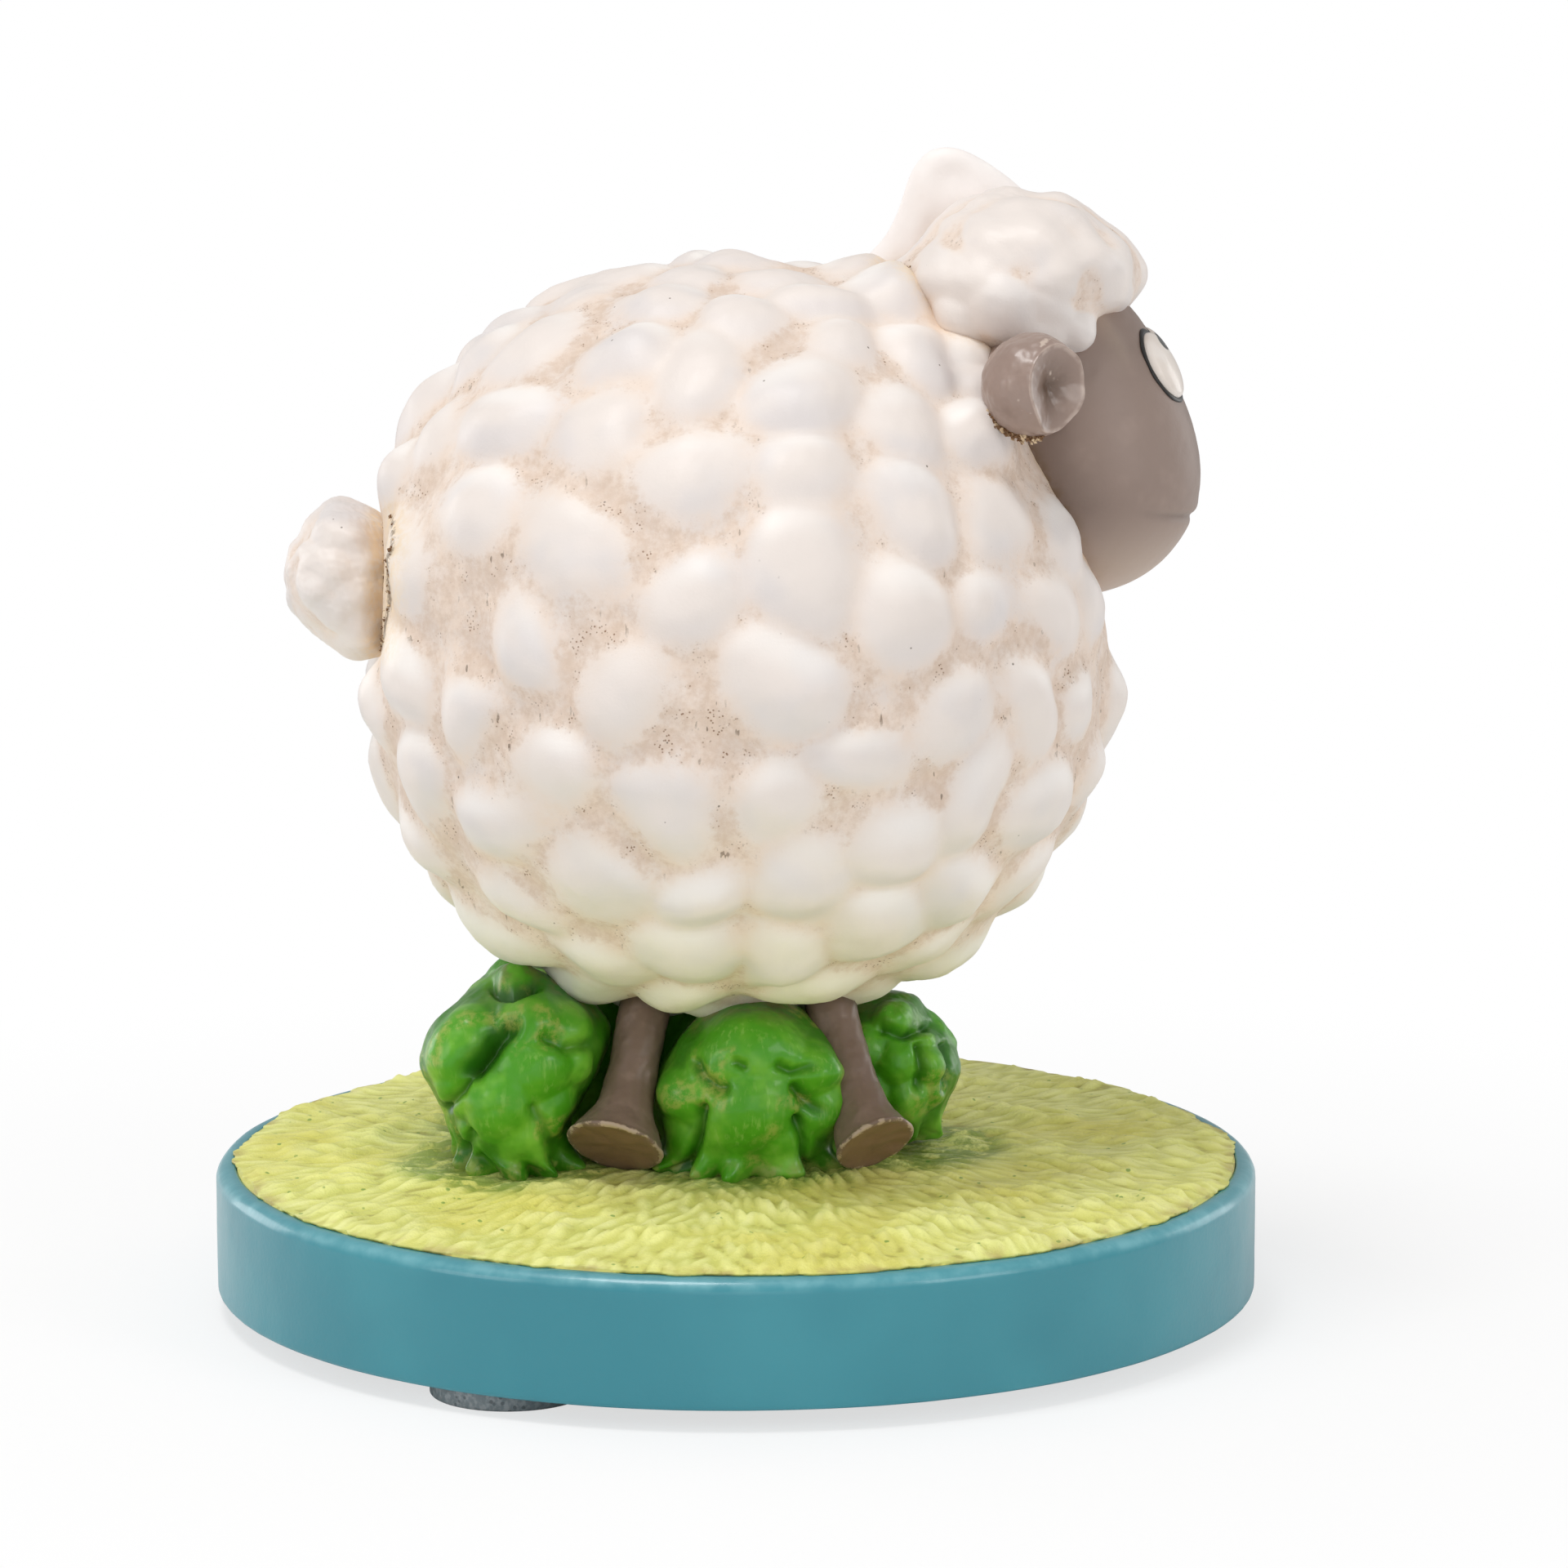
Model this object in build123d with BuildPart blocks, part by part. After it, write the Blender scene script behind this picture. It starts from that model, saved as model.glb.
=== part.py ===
from build123d import *
import os
from math import asin, atan2, cos, degrees, radians, sin, sqrt

# Sheep figurine on a round plinth: painted resin castings, glued together.
# Millimetres, +Z up, +X the way the sheep faces. The origin is the centre of what it stands on.

# Plinth, turf and stick-on pads
plinth_diameter = 100.0
plinth_height = 12.0
plinth_top_round = 1.4
plinth_foot_round = 0.5
turf_margin = 2.0
turf_seat_depth = 1.0
turf_edge_step = 0.6
turf_rise = 0.8
pad_diameter = 14.6
pad_thickness = 2.0
pad_round = 0.3
pad_inset = 9.2
pad_names = ("pad_front", "pad_rear_left", "pad_rear_right")

# Glue line between the castings
glue_film = 0.05

# Fleece body: a ball covered in low round wool curls
fleece_radius = 35.6
fleece_ahead = 0.3
fleece_lift = 50.0
curl_width = 11.0
curl_proud = 1.3
curl_corner_proud = 1.0
curl_least_width = 4.0
curl_gap = 0.4
curl_root_depth = 0.3

# Head: an egg that leans back, blunt end down
head_width = 23.4
head_tilt = 13.0
head_cheek_radius = 30.0
head_crown_radius = 7.0
chin_angle = 7.9
chin_sink = 0.6
neck_seat_depth = 6.0
neck_peg_diameter = 6.0
neck_peg_length = 9.0

# Eyes: shallow domes let into the face
eye_width = 5.6
eye_tall = 7.2
eye_ball_radius = 6.0
eye_proud = 1.2
eye_height = 20.4
eye_turn = 18.0
eye_pocket_depth = 1.2

# Ears: rolled, with a scooped hollow at the open end
ear_ball_radius = 4.8
ear_root_radius = 3.2
ear_root_back = 4.4
ear_root_side = 8.0
ear_root_lift = 23.4
ear_tip_back = 2.6
ear_tip_side = 19.5
ear_tip_lift = 23.0
ear_scoop_radius = 3.7

# Topknot and tail: clumps of wool curls
topknot_size = 10.0
topknot_angle = 52.1
topknot_stand_off = 6.2
tail_size = 8.0
tail_angle = 9.1
tail_stand_off = 2.2
tail_peg_diameter = 4.4
tail_peg_length = 8.0

# Crest flap: one pale rounded point that stands behind the topknot
flap_height = 14.0
flap_back = 6.2
flap_lift = 13.5
flap_side = 7.6
flap_thickness = 3.4
flap_foot_depth = 12.0

# Legs, splayed outward, with a flat flared hoof
leg_diameter = 5.0
hoof_diameter = 9.6
hoof_length = 6.5
hoof_bevel = 0.3
hoof_side = 13.0
hoof_lift = 2.3
leg_top_side = 6.0
rear_hoof_behind = 11.2
rear_leg_top_behind = 8.7
front_hoof_ahead = 13.5
front_leg_top_ahead = 9.3
leg_run_in = 4.5
wire_diameter = 1.6
wire_end_cover = 4.0
wire_in_body = 7.0
wire_clearance = 0.05

# Cabbages: the bed that the sheep sits on
cabbage_radius = 9.0
cabbage_lift = 10.2


def outward(longitude, latitude):
    """Unit vector: longitude turns from the sheep's right side to its face, latitude lifts it."""
    turn, lift = radians(longitude), radians(latitude)
    return Vector(sin(turn) * cos(lift), -cos(turn) * cos(lift), sin(lift))


plinth_bottom = pad_thickness
plinth_top = plinth_bottom + plinth_height
fleece_centre = Vector(fleece_ahead, 0, plinth_top + fleece_lift)

# Curls on the right side: longitude, latitude and share of the curl width. The left side mirrors them.
side_curl_shares = (
    (-40, 75, 1.0), (18, 76, 1.0), (-74, 63, 0.9), (-36, 64, 1.0), (-4, 62, 1.0), (26, 66, 1.0),
    (58, 66, 1.0), (-60, 52, 1.0), (-31, 52, 0.9), (-10, 50, 1.1), (22, 55, 0.9), (45, 51, 0.9),
    (-78, 47, 0.9), (12, 44, 1.1), (60, 44, 1.0), (-48, 39, 1.1), (-67, 34, 1.0), (-26, 38, 1.1),
    (-8, 33, 1.2), (31, 39, 1.1), (49, 37, 0.9), (11, 30, 1.1), (-46, 24, 1.1), (28, 24, 1.1),
    (47, 24, 1.0), (-76, 26, 0.9), (-27, 20, 1.2), (-60, 15, 1.0), (9, 17, 1.1), (63, 19, 1.0),
    (-9, 14, 1.2), (-34, 8, 0.9), (24, 9, 1.1), (40, 11, 1.0), (55, 9, 1.0), (69, 8, 0.9),
    (-19, 1, 1.2), (4, 0, 1.2), (-46, -4, 0.9), (-62, -2, 1.0), (32, -6, 1.1), (48, -6, 1.0),
    (-78, -9, 0.9), (63, -7, 0.9), (-29, -13, 1.1), (17, -10, 1.0), (-60, -18, 1.0), (-11, -17, 1.1),
    (5, -18, 1.0), (38, -19, 1.0), (-44, -22, 1.1), (73, -20, 0.9), (54, -22, 1.0), (24, -25, 1.1),
    (-26, -31, 1.1), (-71, -31, 1.0), (9, -33, 1.1), (-9, -33, 1.0), (42, -34, 1.0), (-46, -38, 1.0),
    (62, -37, 1.0), (25, -41, 1.1), (-14, -47, 1.1), (-66, -47, 1.0), (7, -50, 1.0), (-37, -50, 1.1),
    (46, -50, 1.0), (-58, -62, 1.0), (-20, -63, 1.0), (24, -60, 1.0), (70, -56, 1.0), (60, -72, 1.0),
    (-10, -77, 1.0),
)
# Curls along the back and the belly line: longitude behind or ahead, latitude and share
spine_curl_shares = (
    (-90, 86, 1.0), (-90, 70, 1.0), (-90, 55, 1.0), (-90, 38, 1.0), (-90, -22, 1.0), (-90, -40, 1.1),
    (-90, -57, 1.0), (-90, -74, 1.0), (90, 76, 1.0), (90, -9, 0.9), (90, -27, 1.0), (90, -44, 1.0),
    (90, -61, 1.0), (90, -82, 1.0),
)


def clump(centre, size, lobe_shares, grow=0):
    """Wool clump of round lobes: each place and radius is a share of the clump's size."""
    with BuildPart() as form:
        for ahead, side, up, radius_share in lobe_shares:
            offset = Vector(ahead, side, up) * size
            way = offset if offset.length > 0 else Vector(0, 0, 1)
            with Locations(Plane(origin=centre + offset, z_dir=way)):
                Sphere(size * radius_share + grow)
    return form.part


def fleece_ball(depth=0, grow=0):
    """The plain ball under the curls, or the ball a given depth below it."""
    with BuildPart() as form:
        with Locations(Plane(origin=fleece_centre, z_dir=(1, 0, 0))):
            Sphere(fleece_radius - depth + grow)
    return form.part


ball_grown = fleece_ball(0, glue_film)

# Plinth: a disc with a shallow seat for the turf
turf_radius = plinth_diameter / 2 - turf_margin
with BuildPart() as plinth:
    with BuildSketch(Plane.XY.offset(plinth_bottom)):
        Circle(plinth_diameter / 2)
    extrude(amount=plinth_height)
    rims = plinth.edges().group_by(Axis.Z)
    fillet(rims[-1], radius=plinth_top_round)
    fillet(rims[0], radius=plinth_foot_round)
    with BuildSketch(Plane.XY.offset(plinth_top)):
        Circle(turf_radius + glue_film)
    extrude(amount=-turf_seat_depth, mode=Mode.SUBTRACT)
plinth.part.label = "plinth"

# Turf: a low dome let into the plinth
turf_bottom = plinth_top - turf_seat_depth + glue_film
turf_edge = plinth_top + turf_edge_step


turf_dome_radius = (turf_radius**2 + turf_rise**2) / (2 * turf_rise)
turf_dome_centre = turf_edge + turf_rise - turf_dome_radius
turf_spread = degrees(asin(turf_radius / turf_dome_radius))


def turf_height(ahead, side):
    """Height of the domed turf at a place on it."""
    return turf_dome_centre + sqrt(turf_dome_radius**2 - ahead**2 - side**2)


with BuildPart() as turf:
    with BuildSketch(Plane.XZ):
        with BuildLine():
            rise = CenterArc((0, turf_dome_centre), turf_dome_radius, 90 - turf_spread, turf_spread)
            Polyline(rise @ 0, (turf_radius, turf_bottom), (0, turf_bottom), rise @ 1)
        make_face()
    revolve(axis=Axis.Z)
turf.part.label = "turf"

# What stands on the turf is cut by the ball that its dome belongs to
with BuildPart() as turf_grown:
    with Locations(Plane(origin=(0, 0, turf_dome_centre), z_dir=(0, 1, 0))):
        Sphere(turf_dome_radius + glue_film)

# Stick-on pads in a ring under the plinth
pads = []
for index, name in enumerate(pad_names):
    turn = index * 360 / len(pad_names)
    with BuildPart() as pad:
        with BuildSketch(Plane.XY):
            with PolarLocations(plinth_diameter / 2 - pad_inset, 1, start_angle=turn):
                Circle(pad_diameter / 2)
        extrude(amount=pad_thickness)
        fillet(pad.edges().group_by(Axis.Z)[0], radius=pad_round)
    pad.part.label = name
    pads.append(pad.part)

# Head frame: origin at the chin, x forward, y up along the leaning egg
lean = radians(head_tilt)
head_plane = Plane(
    origin=fleece_centre + outward(90, chin_angle) * (fleece_radius - chin_sink),
    x_dir=(cos(lean), 0, sin(lean)),
    z_dir=(0, -1, 0),
)
head_axis = Axis(head_plane.origin, head_plane.y_dir)
head_radius = head_width / 2
cheek_inset = head_cheek_radius - head_radius
crown_centre = head_radius + sqrt((head_cheek_radius - head_crown_radius) ** 2 - cheek_inset**2)
cheek_turn = degrees(atan2(crown_centre - head_radius, cheek_inset))
neck_way = (head_plane.from_local_coords((0, head_radius, 0)) - fleece_centre).normalized()


def head_form(grow=0):
    """Egg of three arcs turned about its own axis."""
    radius = head_radius + grow
    with BuildPart() as form:
        with BuildSketch(head_plane):
            with BuildLine():
                chin = CenterArc((0, head_radius), radius, -90, 90)
                CenterArc((-cheek_inset, head_radius), head_cheek_radius + grow, 0, cheek_turn)
                crown = CenterArc((0, crown_centre), head_crown_radius + grow, cheek_turn, 90 - cheek_turn)
                Line(crown @ 1, chin @ 0)
            make_face()
        revolve(axis=head_axis)
    return form.part


def neck_peg(grow=0):
    """Round peg from the head into the fleece."""
    start = fleece_centre + neck_way * (fleece_radius - neck_seat_depth - neck_peg_length - grow)
    with BuildPart() as form:
        with BuildSketch(Plane(origin=start, z_dir=neck_way)):
            Circle(neck_peg_diameter / 2 + grow)
        extrude(amount=neck_peg_length + neck_seat_depth)
    return form.part


def eye_form(side, grow=0):
    """Ball let into the face: side -1 is the sheep's right."""
    rise = eye_height - head_radius
    face_radius = head_radius - head_cheek_radius + sqrt(head_cheek_radius**2 - rise**2)
    slope = rise / head_cheek_radius
    turn = radians(eye_turn)
    flat = sqrt(1 - slope**2)
    spot = head_plane.from_local_coords(
        (face_radius * cos(turn), eye_height, -side * face_radius * sin(turn)),
    )
    tip = head_plane.from_local_coords(
        (
            (face_radius + flat * eye_proud) * cos(turn),
            eye_height + slope * eye_proud,
            -side * (face_radius + flat * eye_proud) * sin(turn),
        )
    )
    way = (tip - spot).normalized()
    with BuildPart() as form:
        base = spot - way * eye_pocket_depth - way * grow
        with BuildSketch(Plane(origin=base, x_dir=way.cross(head_plane.y_dir), z_dir=way)):
            Ellipse(eye_width / 2 + grow, eye_tall / 2 + grow)
        extrude(amount=eye_pocket_depth + eye_proud + eye_ball_radius)
        with Locations(tip - way * eye_ball_radius):
            Sphere(eye_ball_radius + grow, mode=Mode.INTERSECT)
    return form.part


# Centre of the hollow from the middle of the ear's ball: ahead, outward, up
ear_scoop_share = (0.62, 0.62, -0.14)


def ear_ends(side):
    """Where an ear starts beside the head and the middle of the ball it ends in."""
    root = head_plane.from_local_coords((-ear_root_back, ear_root_lift, -side * ear_root_side))
    tip = head_plane.from_local_coords((-ear_tip_back, ear_tip_lift, -side * ear_tip_side))
    return root, tip


def ear_form(side, grow=0):
    """Rolled ear: a stub that swells into a ball."""
    root, tip = ear_ends(side)
    run = tip - root
    with BuildPart() as form:
        with BuildSketch(Plane(origin=root, z_dir=run)):
            Circle(ear_root_radius + grow)
        extrude(amount=run.length)
        with Locations(Plane(origin=tip, z_dir=run)):
            Sphere(ear_ball_radius + grow)
    return form.part


# Topknot lobes on the centre line and on one side: ahead, side, up and radius, as shares of its size
topknot_middle_shares = (
    (0, 0, 0, 0.94), (0.8, 0, 0.3, 0.46), (0.42, 0, 0.46, 0.5), (-0.24, 0, 0.46, 0.49), (-0.72, 0, 0.16, 0.5),
    (0.84, 0, -0.02, 0.4),
)
topknot_side_shares = (
    (0.68, 0.42, 0.18, 0.48), (0.16, 0.46, 0.56, 0.42), (-0.34, 0.5, 0.36, 0.46), (0.48, 1.02, -0.06, 0.47),
    (-0.08, 1.06, 0.02, 0.47), (-0.54, 0.84, -0.02, 0.46), (0.32, 0.88, 0.34, 0.42),
)
topknot_shares = topknot_middle_shares + topknot_side_shares + tuple(
    (ahead, -side, up, radius) for ahead, side, up, radius in topknot_side_shares
)
topknot_centre = fleece_centre + outward(90, topknot_angle) * (fleece_radius + topknot_stand_off)

# Tail lobes, as shares of its size
tail_middle_shares = (
    (0, 0, 0, 0.8), (0.02, 0, 0.6, 0.42), (0.04, 0, -0.6, 0.42), (-0.34, 0, 0.04, 0.4), (-0.22, 0, 0.4, 0.38),
    (-0.18, 0, -0.42, 0.38),
)
tail_side_shares = ((-0.02, 0.56, 0.26, 0.42), (0.0, 0.52, -0.32, 0.42))
tail_shares = tail_middle_shares + tail_side_shares + tuple(
    (ahead, -side, up, radius) for ahead, side, up, radius in tail_side_shares
)
tail_centre = fleece_centre + outward(-90, tail_angle) * (fleece_radius + tail_stand_off)


def tail_peg(grow=0):
    """Round peg from the tail into the fleece."""
    with BuildPart() as form:
        with BuildSketch(Plane(origin=tail_centre, z_dir=(1, 0, 0))):
            Circle(tail_peg_diameter / 2 + grow)
        extrude(amount=tail_peg_length + grow)
    return form.part


# Flap outline, measured from its tip as shares of its height: foot, hollow back, tip and slope
flap_foot_share = (-0.62, -1.1)
flap_back_share = (-0.36, -0.52)
flap_shoulder_share = (-0.2, -0.14)
flap_brow_share = (0.16, -0.05)
flap_slope_share = (0.95, -0.66)
flap_tip = topknot_centre + Vector(-flap_back, flap_side, flap_lift)


def flap_form(grow=0):
    """Flat rounded point on an upright plane."""
    foot, back, shoulder, brow, slope = [
        (flap_height * ahead, flap_height * up)
        for ahead, up in (
            flap_foot_share, flap_back_share, flap_shoulder_share, flap_brow_share, flap_slope_share,
        )
    ]
    with BuildPart() as form:
        with BuildSketch(Plane(flap_tip + Vector(0, grow, 0), x_dir=(1, 0, 0), z_dir=(0, -1, 0))):
            with BuildLine():
                hollow = ThreePointArc(foot, back, shoulder)
                tip = TangentArc(hollow @ 1, brow, tangent=hollow % 1)
                Polyline(
                    tip @ 1,
                    slope,
                    (slope[0], -flap_height - flap_foot_depth),
                    (foot[0], -flap_height - flap_foot_depth),
                    hollow @ 0,
                )
            make_face()
            if grow:
                offset(amount=grow)
        extrude(amount=flap_thickness + 2 * grow)
    return form.part


# Legs: where each one leaves the body and where its hoof ends
leg_places = {
    "leg_rear_right": (-rear_leg_top_behind, -rear_hoof_behind, -1),
    "leg_rear_left": (-rear_leg_top_behind, -rear_hoof_behind, 1),
    "leg_front_right": (front_leg_top_ahead, front_hoof_ahead, -1),
    "leg_front_left": (front_leg_top_ahead, front_hoof_ahead, 1),
}


def leg_frame(place):
    """Plane on the hoof's sole with its normal up the leg, and the leg's length."""
    top_ahead, hoof_ahead, side = place
    drop = sqrt(fleece_radius**2 - (top_ahead - fleece_ahead) ** 2 - leg_top_side**2)
    top = Vector(top_ahead, side * leg_top_side, fleece_centre.Z - drop)
    sole = Vector(hoof_ahead, side * hoof_side, turf_height(hoof_ahead, hoof_side) + hoof_lift)
    return Plane(origin=sole, z_dir=top - sole), (top - sole).length


def leg_form(place, grow=0):
    """Round leg that flares to a flat hoof, turned about its own axis."""
    frame, length = leg_frame(place)
    profile_plane = Plane(origin=frame.origin, x_dir=frame.x_dir, z_dir=-frame.y_dir)
    shaft = leg_diameter / 2 + grow
    flare = hoof_diameter / 2 + grow
    with BuildPart() as form:
        with BuildSketch(profile_plane):
            with BuildLine():
                sweep_in = TangentArc((shaft, hoof_length), (flare, hoof_bevel), tangent=(0, -1))
                Polyline(
                    sweep_in @ 1,
                    (flare - hoof_bevel, -grow),
                    (0, -grow),
                    (0, length + leg_run_in),
                    (shaft, length + leg_run_in),
                    sweep_in @ 0,
                )
            make_face()
        revolve(axis=Axis(frame.origin, frame.z_dir))
    return form.part


def wire_form(place, grow=0):
    """Steel wire up the middle of a leg and into the body."""
    frame, length = leg_frame(place)
    with BuildPart() as form:
        with BuildSketch(frame.offset(wire_end_cover - grow)):
            Circle(wire_diameter / 2 + grow)
        extrude(amount=length - wire_end_cover + wire_in_body + 2 * grow)
    return form.part


# Cabbages: ahead, side and size as shares of the cabbage radius
cabbage_places = {
    "cabbage_rear_right": (-2.37, -0.94, 1.0),
    "cabbage_middle_right": (0.19, -0.96, 1.02),
    "cabbage_front": (1.62, -0.1, 0.82),
    "cabbage_rear_left": (-2.05, 0.92, 0.9),
    "cabbage_middle_left": (0.19, 0.98, 0.98),
}
# Leaf lobes round a cabbage: turn in degrees, then shares for distance out, height and radius
cabbage_leaf_shares = (
    (200, 0.52, -0.02, 0.52), (262, 0.5, -0.12, 0.54), (325, 0.5, 0.06, 0.52), (25, 0.52, -0.08, 0.5),
    (85, 0.5, 0.04, 0.52), (145, 0.5, -0.04, 0.52), (230, 0.36, 0.44, 0.46), (350, 0.38, 0.46, 0.46),
    (110, 0.36, 0.42, 0.46),
)
cabbage_heart_share = 0.84
cabbage_foot_share = 0.66
cabbage_waist_share = 0.5


def cabbage_middle(place):
    """Centre of a cabbage's heart, and its radius."""
    ahead, side, size = place
    centre = Vector(cabbage_radius * ahead, cabbage_radius * side, plinth_top + cabbage_lift)
    return centre, cabbage_radius * size


def cabbage_form(place, grow=0):
    """Ball of overlapping leaves on a flared foot."""
    centre, radius = cabbage_middle(place)
    with BuildPart() as form:
        with Locations(centre):
            Sphere(radius * cabbage_heart_share + grow)
        for turn, out, up, share in cabbage_leaf_shares:
            swing = radians(turn)
            offset = Vector(cos(swing) * out, sin(swing) * out, up) * radius
            with Locations(Plane(origin=centre + offset, z_dir=offset)):
                Sphere(radius * share + grow)
        with BuildSketch(Plane(origin=(centre.X, centre.Y, plinth_top))):
            Circle(radius * cabbage_foot_share + grow)
        with BuildSketch(Plane(origin=centre)):
            Circle(radius * cabbage_waist_share + grow)
        loft()
    return form.part


# What each casting is cut by is its neighbour grown by the glue film
head_grown = head_form(glue_film)
ears_grown = [ear_form(side, glue_film) for side in (-1, 1)]
flap_grown = flap_form(glue_film)
wires_grown = [wire_form(place, wire_clearance) for place in leg_places.values()]
legs_grown = [leg_form(place, glue_film) for place in leg_places.values()]

with BuildPart() as head:
    add(head_form())
    add(fleece_ball(neck_seat_depth), mode=Mode.SUBTRACT)
    add(neck_peg())
    for side in (-1, 1):
        add(eye_form(side, glue_film), mode=Mode.SUBTRACT)
head.part.label = "head"

eyes = []
for name, side in (("eye_right", -1), ("eye_left", 1)):
    with BuildPart() as eye:
        add(eye_form(side))
    eye.part.label = name
    eyes.append(eye.part)

ears = []
for name, side in (("ear_right", -1), ("ear_left", 1)):
    root, tip = ear_ends(side)
    ahead, out, up = ear_scoop_share
    scoop_way = Vector(ahead, side * out, up)
    with BuildPart() as ear:
        add(ear_form(side))
        with Locations(Plane(origin=tip + scoop_way * ear_ball_radius, z_dir=scoop_way)):
            Sphere(ear_scoop_radius, mode=Mode.SUBTRACT)
        add(head_grown, mode=Mode.SUBTRACT)
        add(ball_grown, mode=Mode.SUBTRACT)
    ear.part.label = name
    ears.append(ear.part)

with BuildPart() as crest_flap:
    add(flap_form())
    add(head_grown, mode=Mode.SUBTRACT)
    add(ball_grown, mode=Mode.SUBTRACT)
    for ear_tool in ears_grown:
        add(ear_tool, mode=Mode.SUBTRACT)
crest_flap.part.label = "crest_flap"

with BuildPart() as topknot:
    add(clump(topknot_centre, topknot_size, topknot_shares))
    add(head_grown, mode=Mode.SUBTRACT)
    add(ball_grown, mode=Mode.SUBTRACT)
    add(flap_grown, mode=Mode.SUBTRACT)
    for ear_tool in ears_grown:
        add(ear_tool, mode=Mode.SUBTRACT)
topknot.part.label = "topknot"

with BuildPart() as tail:
    add(clump(tail_centre, tail_size, tail_shares))
    add(ball_grown, mode=Mode.SUBTRACT)
    add(tail_peg())
tail.part.label = "tail"

legs = []
wires = []
for name, place in leg_places.items():
    with BuildPart() as leg:
        add(leg_form(place))
        add(ball_grown, mode=Mode.SUBTRACT)
        add(turf_grown.part, mode=Mode.SUBTRACT)
        add(wire_form(place, wire_clearance), mode=Mode.SUBTRACT)
    leg.part.label = name
    legs.append(leg.part)
    with BuildPart() as wire:
        add(wire_form(place))
    wire.part.label = name.replace("leg", "wire")
    wires.append(wire.part)

cabbages = []
cabbages_grown = []
for name, place in cabbage_places.items():
    with BuildPart() as cabbage:
        add(cabbage_form(place))
        add(turf_grown.part, mode=Mode.SUBTRACT)
        add(ball_grown, mode=Mode.SUBTRACT)
        for tool in legs_grown + cabbages_grown:
            add(tool, mode=Mode.SUBTRACT)
    cabbage.part.label = name
    cabbages.append(cabbage.part)
    cabbages_grown.append(cabbage_form(place, glue_film))

# Neighbours that the curls keep clear of, as balls: centre and radius
crowders = []
for ahead, side, up, share in topknot_shares:
    crowders.append((topknot_centre + Vector(ahead, side, up) * topknot_size, topknot_size * share))
for ahead, side, up, share in tail_shares:
    crowders.append((tail_centre + Vector(ahead, side, up) * tail_size, tail_size * share))
for side in (-1, 1):
    root, tip = ear_ends(side)
    crowders += [(tip, ear_ball_radius), (root, ear_root_radius), ((tip + root) / 2, ear_root_radius)]
for share in (flap_foot_share[0], 0, flap_slope_share[0]):
    foot = flap_tip + Vector(share, 0, flap_foot_share[1]) * flap_height
    way = (foot - fleece_centre).normalized()
    crowders.append((fleece_centre + way * fleece_radius, flap_thickness))
for place in leg_places.values():
    frame, length = leg_frame(place)
    crowders.append((frame.origin + frame.z_dir * length, leg_diameter / 2))
for place in cabbage_places.values():
    centre, radius = cabbage_middle(place)
    crowders.append((centre, radius * cabbage_heart_share))
    for turn, out, up, share in cabbage_leaf_shares:
        offset = Vector(cos(radians(turn)) * out, sin(radians(turn)) * out, up)
        crowders.append((centre + offset * radius, radius * share))

curls = [(outward(lon, lat), share, lat) for lon, lat, share in side_curl_shares + spine_curl_shares]
curls += [(outward(180 - lon, lat), share, lat) for lon, lat, share in side_curl_shares]
curl_spots = [fleece_centre + way * fleece_radius for way, share, lat in curls]


def curl_half_width(index):
    """Half of a curl's width: held in by the nearest curls and by what is glued on beside it."""
    spot = curl_spots[index]
    reaches = [curl_width * curls[index][1] / 2]
    for other, (way, share, lat) in zip(curl_spots, curls):
        gap = (other - spot).length
        if gap > 0:
            reaches.append((gap - curl_gap) * curls[index][1] / (curls[index][1] + share))
    for centre, radius in crowders:
        reaches.append((centre - spot).length - radius - curl_gap)
    return min(reaches)


def curl_form(index):
    """Cap of a ball that stands proud of the fleece, its flat root just under the surface."""
    way, share, lat = curls[index]
    half = curl_half_width(index)
    sag = fleece_radius - sqrt(fleece_radius**2 - half**2)
    rise = curl_proud + curl_corner_proud * abs(sin(2 * radians(lat))) + sag
    radius = (half**2 + rise**2) / (2 * rise)
    root = fleece_centre + way * (fleece_radius - sag - curl_root_depth)
    cut = degrees(asin((radius - rise - curl_root_depth) / radius))
    with BuildPart() as form:
        with Locations(Plane(origin=root, z_dir=way)):
            Sphere(radius, arc_size1=cut, align=(Align.CENTER, Align.CENTER, Align.MIN))
    return form.part


curl_forms = []
for index in range(len(curls)):
    if curl_half_width(index) > curl_least_width / 2:
        curl_forms.append(curl_form(index))


with BuildPart() as head_seat:
    add(head_grown)
    add(fleece_ball(neck_seat_depth, -glue_film), mode=Mode.SUBTRACT)

with BuildPart() as fleece_body:
    add(fleece_ball())
    add(curl_forms)
    add(head_seat.part, mode=Mode.SUBTRACT)
    add(neck_peg(glue_film), mode=Mode.SUBTRACT)
    add(tail_peg(glue_film), mode=Mode.SUBTRACT)
    for tool in wires_grown:
        add(tool, mode=Mode.SUBTRACT)
fleece_body.part.label = "fleece_body"

os.makedirs("parts", exist_ok=True)
castings = [plinth.part, turf.part, head.part, crest_flap.part, topknot.part, tail.part, fleece_body.part]
for piece in castings + pads + eyes + ears + legs + wires + cabbages:
    export_step(piece, f"parts/{piece.label}.step")
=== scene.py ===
import math

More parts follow.
